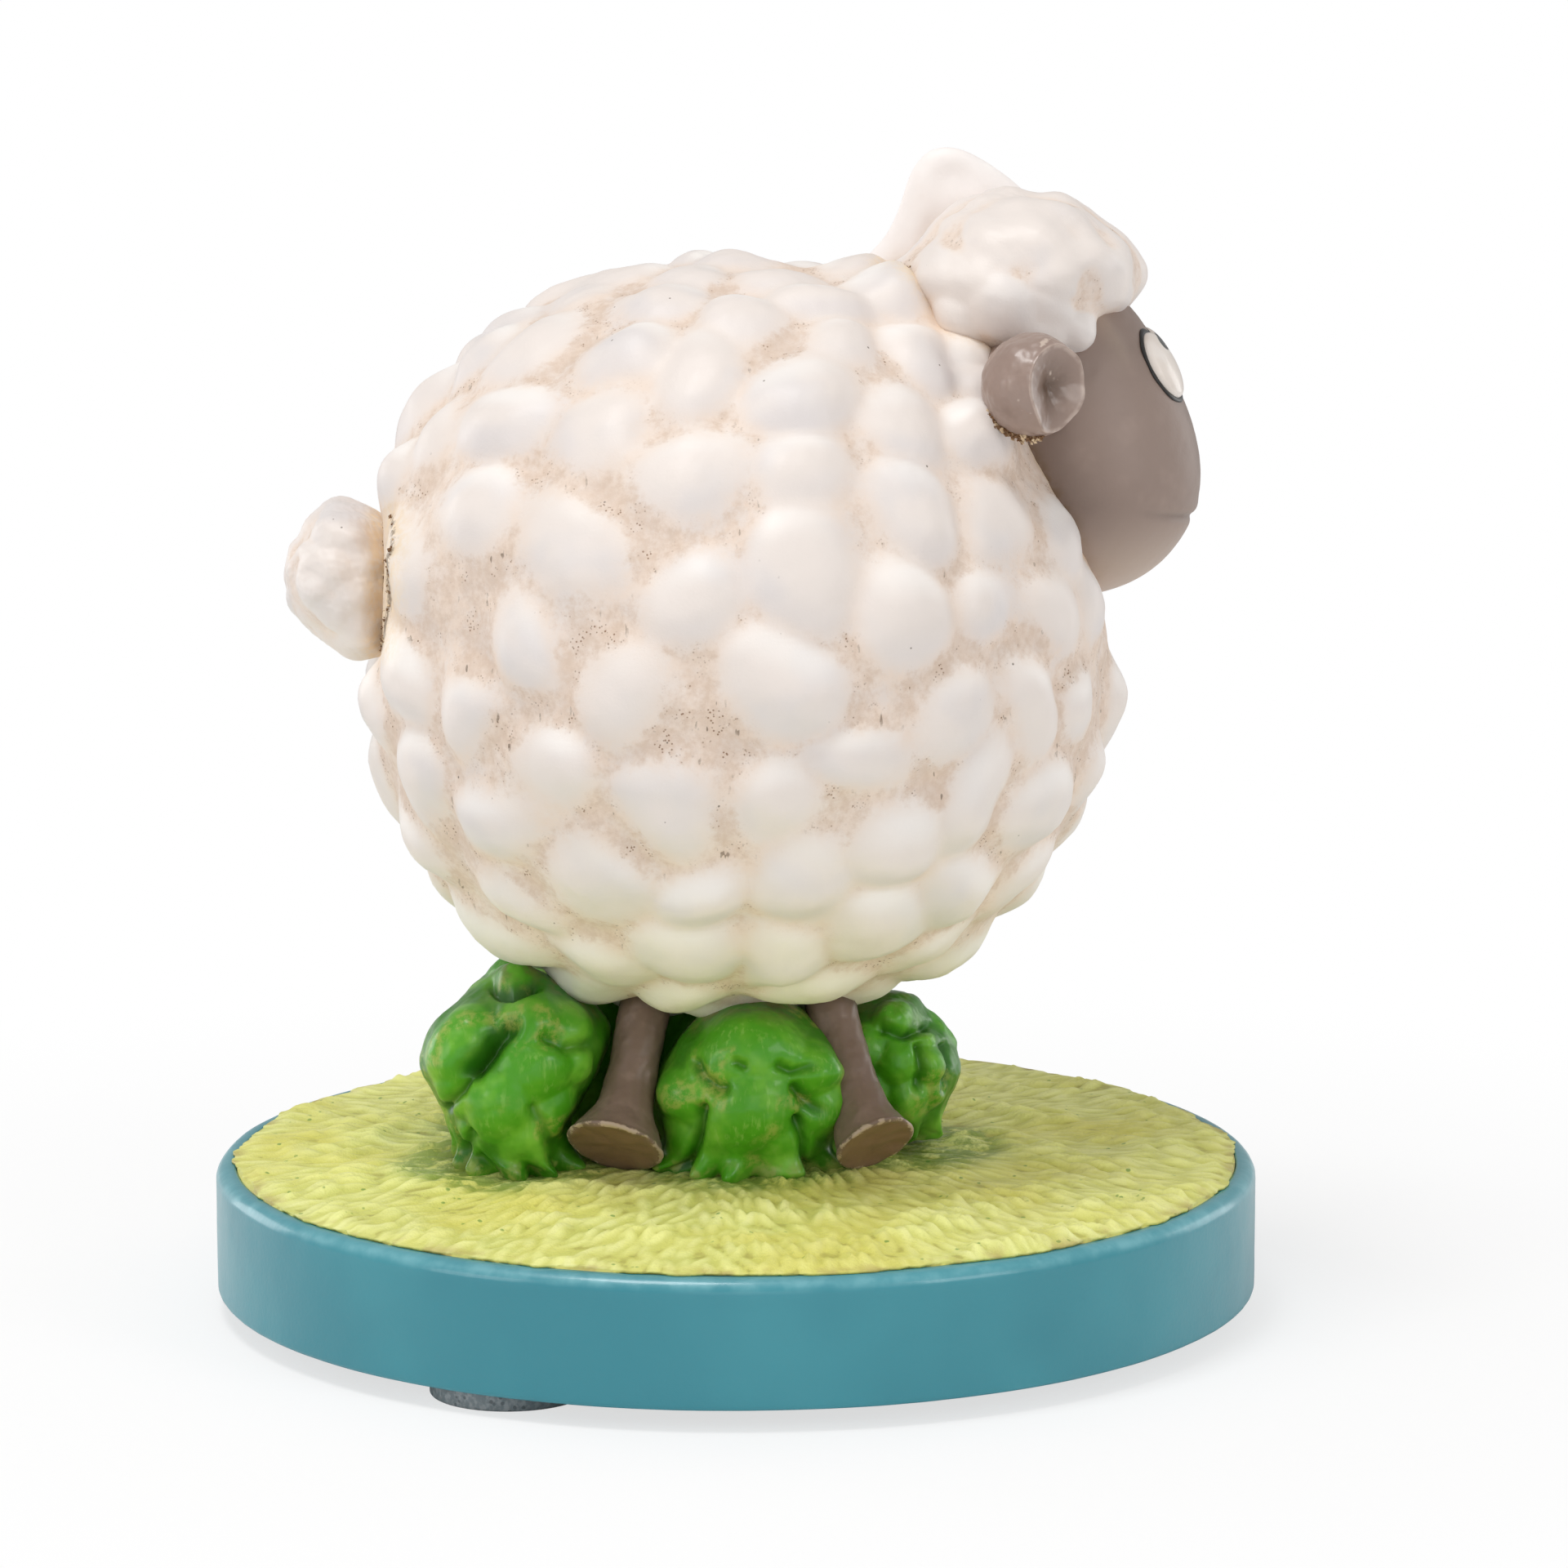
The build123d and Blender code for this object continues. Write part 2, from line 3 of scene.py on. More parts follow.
import bpy
import numpy as np
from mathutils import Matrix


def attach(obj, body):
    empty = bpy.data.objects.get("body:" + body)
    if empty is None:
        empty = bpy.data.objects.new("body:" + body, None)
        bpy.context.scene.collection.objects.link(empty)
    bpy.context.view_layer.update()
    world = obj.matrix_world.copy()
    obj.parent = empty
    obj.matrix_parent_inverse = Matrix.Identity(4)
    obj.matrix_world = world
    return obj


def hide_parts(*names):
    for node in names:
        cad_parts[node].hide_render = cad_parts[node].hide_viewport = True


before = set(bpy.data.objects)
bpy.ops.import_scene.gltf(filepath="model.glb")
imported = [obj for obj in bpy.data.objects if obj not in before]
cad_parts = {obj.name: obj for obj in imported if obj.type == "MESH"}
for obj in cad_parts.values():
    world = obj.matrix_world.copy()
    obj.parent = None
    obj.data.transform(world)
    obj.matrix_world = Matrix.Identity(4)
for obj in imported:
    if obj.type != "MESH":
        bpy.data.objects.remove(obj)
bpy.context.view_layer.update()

# Sheep figurine: hand-painted resin castings glued to a round plinth.
# Sizes are in millimetres and angles in degrees until a mesh is made. The sheep faces +X, and its right side, which
# the camera sees, is -Y.
MM = 0.001
BODY = "root"
SIDES = ((-1, "right"), (1, "left"))
# Rows and columns of the finished surfaces
FLEECE_GRID = (200, 480)
CLUMP_GRID = (150, 260)
CABBAGE_GRID = (160, 320)
TURF_GRID = (130, 620)


def placed(name, data):
    """New object for a mesh, lamp or camera, in the scene."""
    thing = bpy.data.objects.new(name, data)
    bpy.context.scene.collection.objects.link(thing)
    return thing


# ---------------------------------------------------------------- camera

CAMERA_PITCH = 9.54
CAMERA_REACH = 600.0
CAMERA_AIM = (4.61, 0.0, 50.23)
CAMERA_LENS = 144.36
CAMERA_SENSOR = 36.0
CAMERA_CLIP = (0.01, 20.0)

pitch = math.radians(CAMERA_PITCH)
TOWARD = np.array([0.0, -math.cos(pitch), math.sin(pitch)])
RISE = np.array([0.0, math.sin(pitch), math.cos(pitch)])
RIGHT = np.array([1.0, 0.0, 0.0])
LEFTWARD = np.array([0.0, 1.0, 0.0])

lens = bpy.data.cameras.new("studio_camera")
lens.lens = CAMERA_LENS
lens.sensor_width = CAMERA_SENSOR
lens.clip_start, lens.clip_end = CAMERA_CLIP
camera = placed("studio_camera", lens)
camera.location = (np.array(CAMERA_AIM) + CAMERA_REACH * TOWARD) * MM
camera.rotation_euler = (math.pi / 2 - pitch, 0.0, 0.0)
bpy.context.scene.camera = camera
bpy.context.scene.view_settings.view_transform = "Standard"


# ---------------------------------------------------------------- numbers on surfaces


def unit(vectors):
    """Each vector divided by its own length."""
    vectors = np.asarray(vectors, float)
    return vectors / np.linalg.norm(vectors, axis=-1, keepdims=True)


def outward(longitude, latitude):
    """Unit vectors: longitude turns from the sheep's right side (0) to its face (90), latitude lifts them."""
    turn, lift = np.radians(longitude), np.radians(latitude)
    return np.stack([np.sin(turn) * np.cos(lift), -np.cos(turn) * np.cos(lift), np.sin(lift)], -1)


def step(low, high, values):
    """0 below low, 1 above high and a smooth S between: 3t2 - 2t3."""
    share = np.clip((values - low) / (high - low), 0, 1)
    return share * share * (3 - 2 * share)


def bell(values, width):
    """exp(-(values / width)^2)."""
    return np.exp(-((values / width) ** 2))


def touch(gap, width):
    """1 where the gap to another casting is 0 or less, and a bell's fall outside."""
    return bell(np.maximum(gap, 0), width)


def around(count):
    """Angles of so many even steps round a circle."""
    return np.linspace(0, 2 * np.pi, count, endpoint=False)


def about_z(radius, turn, level):
    """Points at a radius and a level, turned about the upright axis."""
    return np.stack(np.broadcast_arrays(radius * np.cos(turn), radius * np.sin(turn), level), -1)


def loop_blur(values, width):
    """Values round a loop, each averaged with its neighbours under a bell of that many steps."""
    steps = np.arange(len(values))
    weights = bell(np.minimum(steps, len(values) - steps), width)
    return np.real(np.fft.ifft(np.fft.fft(values) * np.fft.fft(weights / weights.sum())))


def waves(points, size, seed, count=22):
    """Smooth random field: count plane waves with random ways and phases, lengths near size, scaled to rms 1."""
    draw = np.random.default_rng(seed)
    ways = unit(draw.normal(size=(count, 3)))
    lengths = size * draw.uniform(0.7, 1.45, (count, 1))
    phases = draw.uniform(0, 2 * np.pi, count)
    return np.sin(points @ (2 * np.pi * ways / lengths).T + phases).sum(-1) * math.sqrt(2 / count)


def scatter(*cells):
    """Random share from 0 to 1 for whole-number cells: the fraction of a large sine."""
    total = sum(cell * weight for cell, weight in zip(cells, (12.9898, 78.233, 37.719)))
    return np.modf(np.abs(np.sin(total) * 43758.5453))[0]


def stroke_gap(across, up, path):
    """Distance on the picture plane from each point (across, up) to a path of straight runs."""
    nearest = np.full(np.shape(across), 1e9)
    for (ax, ay), (bx, by) in zip(path[:-1], path[1:]):
        run = (bx - ax) ** 2 + (by - ay) ** 2
        share = np.clip(((across - ax) * (bx - ax) + (up - ay) * (by - ay)) / max(run, 1e-9), 0, 1)
        nearest = np.minimum(nearest, np.hypot(across - ax - share * (bx - ax), up - ay - share * (by - ay)))
    return nearest


def flip(side):
    """Factors that carry the sheep's right side (-1) to the given side (1 its left)."""
    return np.array([1, -side, 1])


def seen(offsets, side=-1):
    """Offsets split into across, up and towards a viewer on that side. The camera is on side -1."""
    return offsets @ RIGHT, offsets @ (RISE * flip(side)), offsets @ (TOWARD * flip(side))


def view_ways(across, up, toward, side):
    """Unit directions to places that are given as a viewer on that side sees them."""
    return unit(across[:, None] * RIGHT + up[:, None] * (RISE * flip(side)) + toward[:, None] * (TOWARD * flip(side)))


# ---------------------------------------------------------------- meshes


def solid(name, points, faces):
    """Object with a mesh of its own, from points in millimetres."""
    mesh = bpy.data.meshes.new(name)
    mesh.from_pydata((points * MM).tolist(), [], faces)
    return placed(name, mesh)


def skin(name, rings, first, last, marks=None):
    """Closed mesh: rings[row, column] run from the point first to the point last, each ring closed on itself.

    marks maps an attribute's name to its values on the rings.
    """
    rows, columns = rings.shape[:2]
    points = np.concatenate([rings.reshape(-1, 3), np.array([first, last], float)])
    index = np.arange(rows * columns).reshape(rows, columns)
    beside = np.roll(index, -1, axis=1)
    sides = np.stack([index[:-1], beside[:-1], beside[1:], index[1:]], -1).reshape(-1, 4)
    start = np.full(columns, rows * columns)
    fan_first = np.stack([start, beside[0], index[0]], -1)
    fan_last = np.stack([start + 1, index[-1], beside[-1]], -1)
    threes = np.concatenate([sides[:, [0, 1, 2]], sides[:, [0, 2, 3]], fan_first, fan_last])
    a, b, c = (points[threes[:, corner]] for corner in range(3))
    if (a * np.cross(b, c)).sum() < 0:
        sides, fan_first, fan_last = sides[:, ::-1], fan_first[:, ::-1], fan_last[:, ::-1]
    piece = solid(name, points, sides.tolist() + fan_first.tolist() + fan_last.tolist())
    for mark, values in (marks or {}).items():
        values = np.broadcast_to(values, (rows, columns))
        filled = np.concatenate([values.ravel(), [values[0].mean(), values[-1].mean()]])
        piece.data.attributes.new(mark, "FLOAT", "POINT").data.foreach_set("value", filled.astype(np.float32))
    piece.data.shade_smooth()
    return piece


def fit(piece, slot_name, finish, *nodes):
    """The piece rides on the body, stands for its CAD nodes and wears its finish."""
    piece.data.materials.append(finish.material)
    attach(piece, BODY)
    if nodes:
        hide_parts(*nodes)
    return piece


def star_ways(rows, columns, pole=(0, 0, 1)):
    """Unit directions on a grid: rows fall from the pole to its opposite, columns turn round it."""
    pole = unit(pole)
    side = unit(np.cross(pole, (0.0, 1.0, 0.0) if abs(pole[1]) < 0.9 else (1.0, 0.0, 0.0)))
    other = np.cross(pole, side)
    fall = np.linspace(0, np.pi, rows + 2)[1:-1, None, None]
    turn = around(columns)[None, :, None]
    return np.cos(fall) * pole + np.sin(fall) * (np.cos(turn) * side + np.sin(turn) * other)


class Form:
    """A star-shaped form: in each direction from its centre its surface lies at the distance reach(directions)."""

    def __init__(self, centre, reach):
        self.centre = np.array(centre, float)
        self.reach = reach

    def gap(self, points):
        """How far points stand outside the form, along the line from its centre."""
        offset = points - self.centre
        away = np.linalg.norm(offset, axis=-1)
        return away - self.reach(offset / away[..., None])

    def grid(self, rows, columns, pole=(0, 0, 1)):
        """Rings of surface points, the two pole points, and the directions of the rings."""
        ways = star_ways(rows, columns, pole)
        ends = [self.centre + unit(end) * self.reach(unit(end)[None])[0] for end in (pole, -np.array(pole, float))]
        return self.centre + ways * self.reach(ways)[..., None], ends, ways


def up_slope(rise):
    """How steeply each spot of a grid of rings falls upward: 1 on a pillow's upper side, -1 on its lower side."""
    tilt = np.gradient(rise, axis=0)
    return np.clip(tilt / (1.6 * np.percentile(np.abs(tilt), 90)), -1, 1)


def outline_reach(ways, outline, depth, blur=3.0, side=-1):
    """Reach of a form with a given outline: an ellipse through the outline's radius and the depth towards the viewer.

    outline lists (angle, radius) round the form as the camera sees it, blurred over that many degrees.
    """
    across, up, toward = seen(ways, side)
    angles = np.arange(0.0, 360.0)
    table = loop_blur(np.interp(angles, *np.transpose(outline), period=360), blur)
    edge = np.interp(np.degrees(np.arctan2(up, across)), angles, table, period=360)
    return 1 / np.sqrt((across**2 + up**2) / edge**2 + (toward / depth) ** 2)


def domes(ways, places, widths, heights, scale, power=3.0, seed=0, warp=0.02):
    """Round pillows on a ball: each is height x exp(-(distance / half width)^power), joined by a fifth-power mean.

    Every pillow is stretched one way at random, and the ball's directions are warped so that none is a true circle.
    """
    draw = np.random.default_rng(seed)
    shift = np.stack([waves(ways * scale, 15.0, seed + axis) for axis in range(3)], -1)
    warped = unit(ways + warp * shift)
    side = unit(np.cross(places, draw.normal(size=places.shape)))
    other = np.cross(places, side)
    stretch = draw.uniform(0.86, 1.18, len(places))
    flat = warped.reshape(-1, 3)
    distance = np.sqrt((flat @ (side * (scale / stretch / widths)[:, None]).T) ** 2
                       + (flat @ (other * (scale * stretch / widths)[:, None]).T) ** 2)
    distance = np.where(flat @ places.T > 0.3, distance, 9.0)
    pillows = heights * np.exp(-(distance**power))
    return ((pillows**5).sum(-1) ** 0.2).reshape(ways.shape[:-1])


# ---------------------------------------------------------------- paint


def paint(red, green, blue):
    """A colour of 0 to 255 screen values, as the shader takes it."""
    share = np.array([red, green, blue]) / 255
    linear = np.where(share <= 0.04045, share / 12.92, ((share + 0.055) / 1.055) ** 2.4)
    return (*linear.tolist(), 1.0)


class Signal:
    """A socket in a finish. Each operator adds the Math node that works it out."""

    def __init__(self, finish, socket):
        self.finish = finish
        self.socket = socket

    def maths(self, operation, *terms):
        node = self.finish.node("ShaderNodeMath", {"operation": operation}, dict(enumerate(terms)))
        return Signal(self.finish, node.outputs[0])

    def __add__(self, other):
        return self.maths("ADD", self, other)

    def __sub__(self, other):
        return self.maths("SUBTRACT", self, other)

    def __rsub__(self, other):
        return self.maths("SUBTRACT", other, self)

    def __mul__(self, other):
        return self.maths("MULTIPLY", self, other)

    __radd__ = __add__
    __rmul__ = __mul__

    def most(self, other):
        """The larger of the two."""
        return self.maths("MAXIMUM", self, other)

    def rise(self, low, high):
        """0 below low, 1 above high, smooth between."""
        inputs = {0: self, 1: low, 2: high, 3: 0.0, 4: 1.0}
        node = self.finish.node("ShaderNodeMapRange", {"interpolation_type": "SMOOTHSTEP"}, inputs)
        return Signal(self.finish, node.outputs[0])


class Finish:
    """A procedural paint. Patterns are sized in millimetres and read the object's own coordinates."""

    def __init__(self, name, **shader):
        self.material = bpy.data.materials.new(name)
        self.material.use_nodes = True
        self.tree = self.material.node_tree
        self.tree.nodes.clear()
        self.shader = self.node("ShaderNodeBsdfPrincipled", {}, {k.replace("_", " "): v for k, v in shader.items()})
        self.output = self.node("ShaderNodeOutputMaterial", {}, {"Surface": self.shader.outputs[0]})
        self.place = Signal(self, self.node("ShaderNodeTexCoord", {}, {}).outputs["Object"])

    def node(self, kind, settings, inputs):
        made = self.tree.nodes.new(kind)
        for key, value in settings.items():
            setattr(made, key, value)
        for key, value in inputs.items():
            if isinstance(value, Signal):
                value = value.socket
            if isinstance(value, bpy.types.NodeSocket):
                self.tree.links.new(value, made.inputs[key])
            else:
                made.inputs[key].default_value = value
        return made

    def cloud(self, size, detail=2.0, rough=0.5, stretch=(1, 1, 1)):
        """Noise with patches of about size, longer along an axis whose stretch is larger."""
        scale = tuple(1 / share for share in stretch)
        turned = self.node("ShaderNodeMapping", {}, {"Vector": self.place, "Scale": scale}).outputs[0]
        inputs = {"Vector": turned, "Scale": 1 / (size * MM), "Detail": detail, "Roughness": rough}
        return Signal(self, self.node("ShaderNodeTexNoise", {}, inputs).outputs[0])

    def specks(self, size, share=0.3):
        """1 inside round specks in some of the cells of a given size, 0 outside."""
        inputs = {"Vector": self.place, "Scale": 1 / (size * MM), "Randomness": 1.0}
        cells = self.node("ShaderNodeTexVoronoi", {}, inputs)
        return 1 - Signal(self, cells.outputs["Distance"]).rise(share * 0.6, share)

    def mark(self, name):
        """An attribute of the mesh."""
        return Signal(self, self.node("ShaderNodeAttribute", {"attribute_name": name}, {}).outputs["Fac"])

    def blend(self, under, over, share):
        """Colour under with colour over laid on it by share."""
        inputs = {0: share, 6: under, 7: over}
        return Signal(self, self.node("ShaderNodeMix", {"data_type": "RGBA"}, inputs).outputs[2])

    def layers(self, colour, *coats):
        """Colour with each coat, screen values and share, laid on it in turn."""
        for over, share in coats:
            colour = self.blend(colour, paint(*over), share)
        return colour

    def height(self):
        """Height of the surface above the origin, in millimetres."""
        split = self.node("ShaderNodeSeparateXYZ", {}, {0: self.place})
        return Signal(self, split.outputs["Z"]) * (1 / MM)

    def wear(self, colour=None, roughness=None, relief=None, depth=0.1):
        """Links what varies: colour, roughness, and a relief of 0 to 1 that is depth millimetres high."""
        for socket, value in (("Base Color", colour), ("Roughness", roughness)):
            if value is not None:
                self.tree.links.new(value.socket, self.shader.inputs[socket])
        if relief is not None:
            bump = self.node("ShaderNodeBump", {}, {"Height": relief, "Distance": depth * MM, "Strength": 1.0})
            self.tree.links.new(bump.outputs[0], self.shader.inputs["Normal"])
        return self


def wool_finish(name):
    """Cream paint: a painted highlight on the curls' upper slopes and painted shade on their lower slopes, a patchy
    tan wash with dark specks in the valleys, tan and crust on the glue lines, and a greenish tint towards the belly
    that is painted light reflected from the turf."""
    finish = Finish(name, Specular_IOR_Level=0.4)
    valley, seam, slope = finish.mark("valley"), finish.mark("seam"), finish.mark("slope")
    fine = finish.cloud(0.9, 4, 0.7)
    low = 1 - finish.height().rise(24, 48)
    wash = finish.cloud(3, 4, 0.65).rise(0.35, 0.65)
    patch = (valley * 0.3 + finish.cloud(5.5, 5, 0.68) * 0.8 + fine * 0.3).rise(0.72, 0.92) * valley.rise(0.05, 0.7)
    dots = finish.specks(0.34, 0.34) * finish.cloud(2.2, 3).rise(0.53, 0.62) * (patch * 0.9 + valley * 0.1)
    hairs = finish.cloud(0.5, 1, 0.5, (1, 3, 3)).rise(0.69, 0.72) * patch * finish.cloud(3.0, 1).rise(0.5, 0.6)
    loose = finish.specks(3.1, 0.05) * finish.cloud(4.1, 1).rise(0.48, 0.55)
    crust = finish.mark("crust")
    crust = crust * (finish.cloud(0.7, 3, 0.7) + crust * 0.35).rise(0.6, 0.78)
    colour = finish.layers(
        paint(235, 225, 218),
        ((226, 219, 216), finish.cloud(9, 2).rise(0.45, 0.7)),
        # Painted highlight on the curls' upper slopes, then painted shade on their lower slopes
        ((251, 246, 241), slope.rise(0.1, 0.9) * 0.75),
        ((221, 214, 213), (0 - slope).rise(0.1, 0.9) * 0.5),
        # Painted light reflected from the green turf: a greenish tint towards the belly
        ((242, 240, 212), low * (0.35 + 0.5 * finish.cloud(6).rise(0.3, 0.8))),
        ((235, 215, 198), valley * (0.4 + 0.5 * wash)),
        ((212, 188, 168), patch * (0.45 + 0.3 * fine.rise(0.38, 0.66))),
        ((134, 98, 68), dots * 0.85),
        ((104, 84, 66), hairs * 0.7),
        ((96, 80, 66), loose * 0.8),
        ((238, 214, 180), seam * (0.4 + 0.5 * fine.rise(0.4, 0.6))),
        ((98, 76, 50), crust),
    )
    relief = finish.cloud(0.3, 3, 0.7) * 0.5 + finish.cloud(2.2, 3) * 0.6
    return finish.wear(colour, 0.42 + 0.2 * valley + 0.08 * finish.cloud(3), relief, 0.05)


def enamel_finish(name, main, light, dark, roughness=0.4, mottle=6.0, grain=0.5, depth=0.04, **shader):
    """Brushed enamel: a main colour clouded lighter and darker, with fine grain."""
    finish = Finish(name, **shader)
    finish.colour = finish.layers(
        paint(*main),
        (light, finish.cloud(mottle, 3, 0.6).rise(0.52, 0.75)),
        (dark, finish.cloud(mottle * 0.7, 3, 0.6).rise(0.55, 0.8) * 0.6),
    )
    relief = finish.cloud(grain, 2) * 0.5 + finish.cloud(grain * 6, 2)
    return finish.wear(finish.colour, roughness + 0.12 * finish.cloud(mottle), relief, depth)


# ---------------------------------------------------------------- fleece

# Curls on the right side: longitude, latitude and share of the curl width. The left side mirrors them.
SIDE_CURLS = (
    (-40, 75, 1.0), (18, 76, 1.0), (-74, 63, 0.9), (-36, 64, 1.0), (-4, 62, 1.0), (26, 66, 1.0),
    (58, 66, 1.0), (-60, 52, 1.0), (-31, 52, 0.9), (-10, 50, 1.1), (22, 55, 0.9), (45, 51, 0.9),
    (-78, 47, 0.9), (12, 44, 1.1), (60, 44, 1.0), (-48, 39, 1.1), (-67, 34, 1.0), (-26, 38, 1.1),
    (-8, 33, 1.2), (31, 39, 1.1), (49, 37, 0.9), (11, 30, 1.1), (-46, 24, 1.1), (28, 24, 1.1),
    (47, 24, 1.0), (-76, 26, 0.9), (-27, 20, 1.2), (-60, 15, 1.0), (9, 17, 1.1), (63, 19, 1.0),
    (-9, 14, 1.2), (-34, 8, 0.9), (24, 9, 1.1), (40, 11, 1.0), (55, 9, 1.0), (69, 8, 0.9),
    (-19, 1, 1.2), (4, 0, 1.2), (-46, -4, 0.9), (-62, -2, 1.0), (32, -6, 1.1), (48, -6, 1.0),
    (-78, -9, 0.9), (63, -7, 0.9), (-29, -13, 1.1), (17, -10, 1.0), (-60, -18, 1.0), (-11, -17, 1.1),
    (5, -18, 1.0), (38, -19, 1.0), (-44, -22, 1.1), (73, -20, 0.9), (54, -22, 1.0), (24, -25, 1.1),
    (-26, -31, 1.1), (-71, -31, 1.0), (9, -33, 1.1), (-9, -33, 1.0), (42, -34, 1.0), (-46, -38, 1.0),
    (62, -37, 1.0), (25, -41, 1.1), (-14, -47, 1.1), (-66, -47, 1.0), (7, -50, 1.0), (-37, -50, 1.1),
    (46, -50, 1.0), (-58, -62, 1.0), (-20, -63, 1.0), (24, -60, 1.0), (70, -56, 1.0), (60, -72, 1.0),
    (-10, -77, 1.0),
)
# Curls along the back and the belly line
SPINE_CURLS = (
    (-90, 86, 1.0), (-90, 70, 1.0), (-90, 55, 1.0), (-90, 38, 1.0), (-90, -22, 1.0), (-90, -40, 1.1),
    (-90, -57, 1.0), (-90, -74, 1.0), (90, 76, 1.0), (90, -9, 0.9), (90, -27, 1.0), (90, -44, 1.0),
    (90, -61, 1.0), (90, -82, 1.0),
)
CURL_HALF_WIDTH = 4.85
CURL_PROUD = 2.3
FLEECE_CENTRE = (1.2, 0.0, 64.5)
FLEECE_DEPTH = 37.3
FLEECE_SINK = 1.75
# Radius of the ball on which the fleece's fine waves are worked out, and random shift of a curl in degrees
FLEECE_BALL = 37
CURL_SHIFT = 0.7
FLEECE_OUTLINE = (
    (5, 35.4), (20, 35.0), (50, 36.2), (73, 37.0), (80, 36.4), (92, 36.2), (103, 36.5), (117, 37.3), (126, 38.0),
    (141, 38.0), (156, 39.3), (170, 38.0), (186, 36.8), (197, 37.4), (212, 38.3), (225, 38.5), (243, 37.6),
    (264, 36.4), (280, 36.2), (300, 36.9), (317, 36.8), (335, 36.5), (350, 35.7),
)

curls = np.array(SIDE_CURLS + SPINE_CURLS + tuple((180 - lon, lat, share) for lon, lat, share in SIDE_CURLS))
curl_draw = np.random.default_rng(11)
curl_lon, curl_lat = (curls[:, axis] + curl_draw.normal(0, CURL_SHIFT, len(curls)) for axis in range(2))
curl_places = outward(curl_lon, curl_lat)
curl_widths = CURL_HALF_WIDTH * curls[:, 2]
curl_heights = CURL_PROUD * curl_draw.uniform(0.65, 1.12, len(curls))


def curl_rise(ways):
    """Height of the curls over the plain fleece."""
    return domes(ways, curl_places, curl_widths, curl_heights, FLEECE_DEPTH, 2.4, 5, 0.02)


def fleece_reach(ways):
    """Outline ellipse, sunk by the curls' mean height, plus the curls and two fine waves."""
    plain = outline_reach(ways, FLEECE_OUTLINE, FLEECE_DEPTH, 9.0) - FLEECE_SINK
    ball = ways * FLEECE_BALL
    return plain + curl_rise(ways) + 0.1 * waves(ball, 6.5, 71) + 0.02 * waves(ball, 1.7, 72)


fleece_form = Form(FLEECE_CENTRE, fleece_reach)

# ---------------------------------------------------------------- head

CHIN = np.array([34.97, 0.0, 68.81])
HEAD_LEAN = math.radians(13.0)
HEAD_FRONT = np.array([math.cos(HEAD_LEAN), 0.0, math.sin(HEAD_LEAN)])
HEAD_UP = np.array([-math.sin(HEAD_LEAN), 0.0, math.cos(HEAD_LEAN)])
HEAD_RADIUS = 11.7
CHEEK_RADIUS = 30.0
CROWN_RADIUS = 7.0
# Heights of the mouth crease and of the lip over it, how they rise to the sides, and how deep or high they are
MOUTH_UP = 5.3
LIP_UP = 6.2
MOUTH_BEND = 0.0006
MOUTH_DEPTH = 0.32
LIP_RISE = 0.1
# The brow planes: degrees from the front, and height
BROW_TURN = 50
BROW_RISE = 0.16
CHEEK_INSET = CHEEK_RADIUS - HEAD_RADIUS
CROWN_UP = HEAD_RADIUS + math.sqrt((CHEEK_RADIUS - CROWN_RADIUS) ** 2 - CHEEK_INSET**2)
CHEEK_TURN = math.atan2(CROWN_UP - HEAD_RADIUS, CHEEK_INSET)


def egg_gap(points):
    """Distance outside the head's plain egg: chin ball, cheek arc and crown ball, turned about the leaning axis."""
    offset = points - CHIN
    up = offset @ HEAD_UP
    out = np.hypot(offset @ HEAD_FRONT, offset[..., 1])
    chin = np.hypot(out, up - HEAD_RADIUS) - HEAD_RADIUS
    cheek = np.hypot(out + CHEEK_INSET, up - HEAD_RADIUS) - CHEEK_RADIUS
    crown = np.hypot(out, up - CROWN_UP) - CROWN_RADIUS
    turn = np.arctan2(up - HEAD_RADIUS, out + CHEEK_INSET)
    return np.where(up < HEAD_RADIUS, chin, np.where(turn < CHEEK_TURN, cheek, crown))


def on_face(turn, up, proud=0.0):
    """Point on the egg: turn in degrees from the front towards the sheep's right, up along the leaning axis."""
    turn, up = np.radians(turn), np.asarray(up, float)
    chin = np.sqrt(np.maximum(HEAD_RADIUS**2 - (up - HEAD_RADIUS) ** 2, 0))
    cheek = np.sqrt(np.maximum(CHEEK_RADIUS**2 - (up - HEAD_RADIUS) ** 2, 0)) - CHEEK_INSET
    out = np.where(up < HEAD_RADIUS, chin, cheek) + proud
    return (CHIN + np.multiply.outer(up, HEAD_UP) + (out * np.cos(turn))[..., None] * HEAD_FRONT
            - (out * np.sin(turn))[..., None] * LEFTWARD)


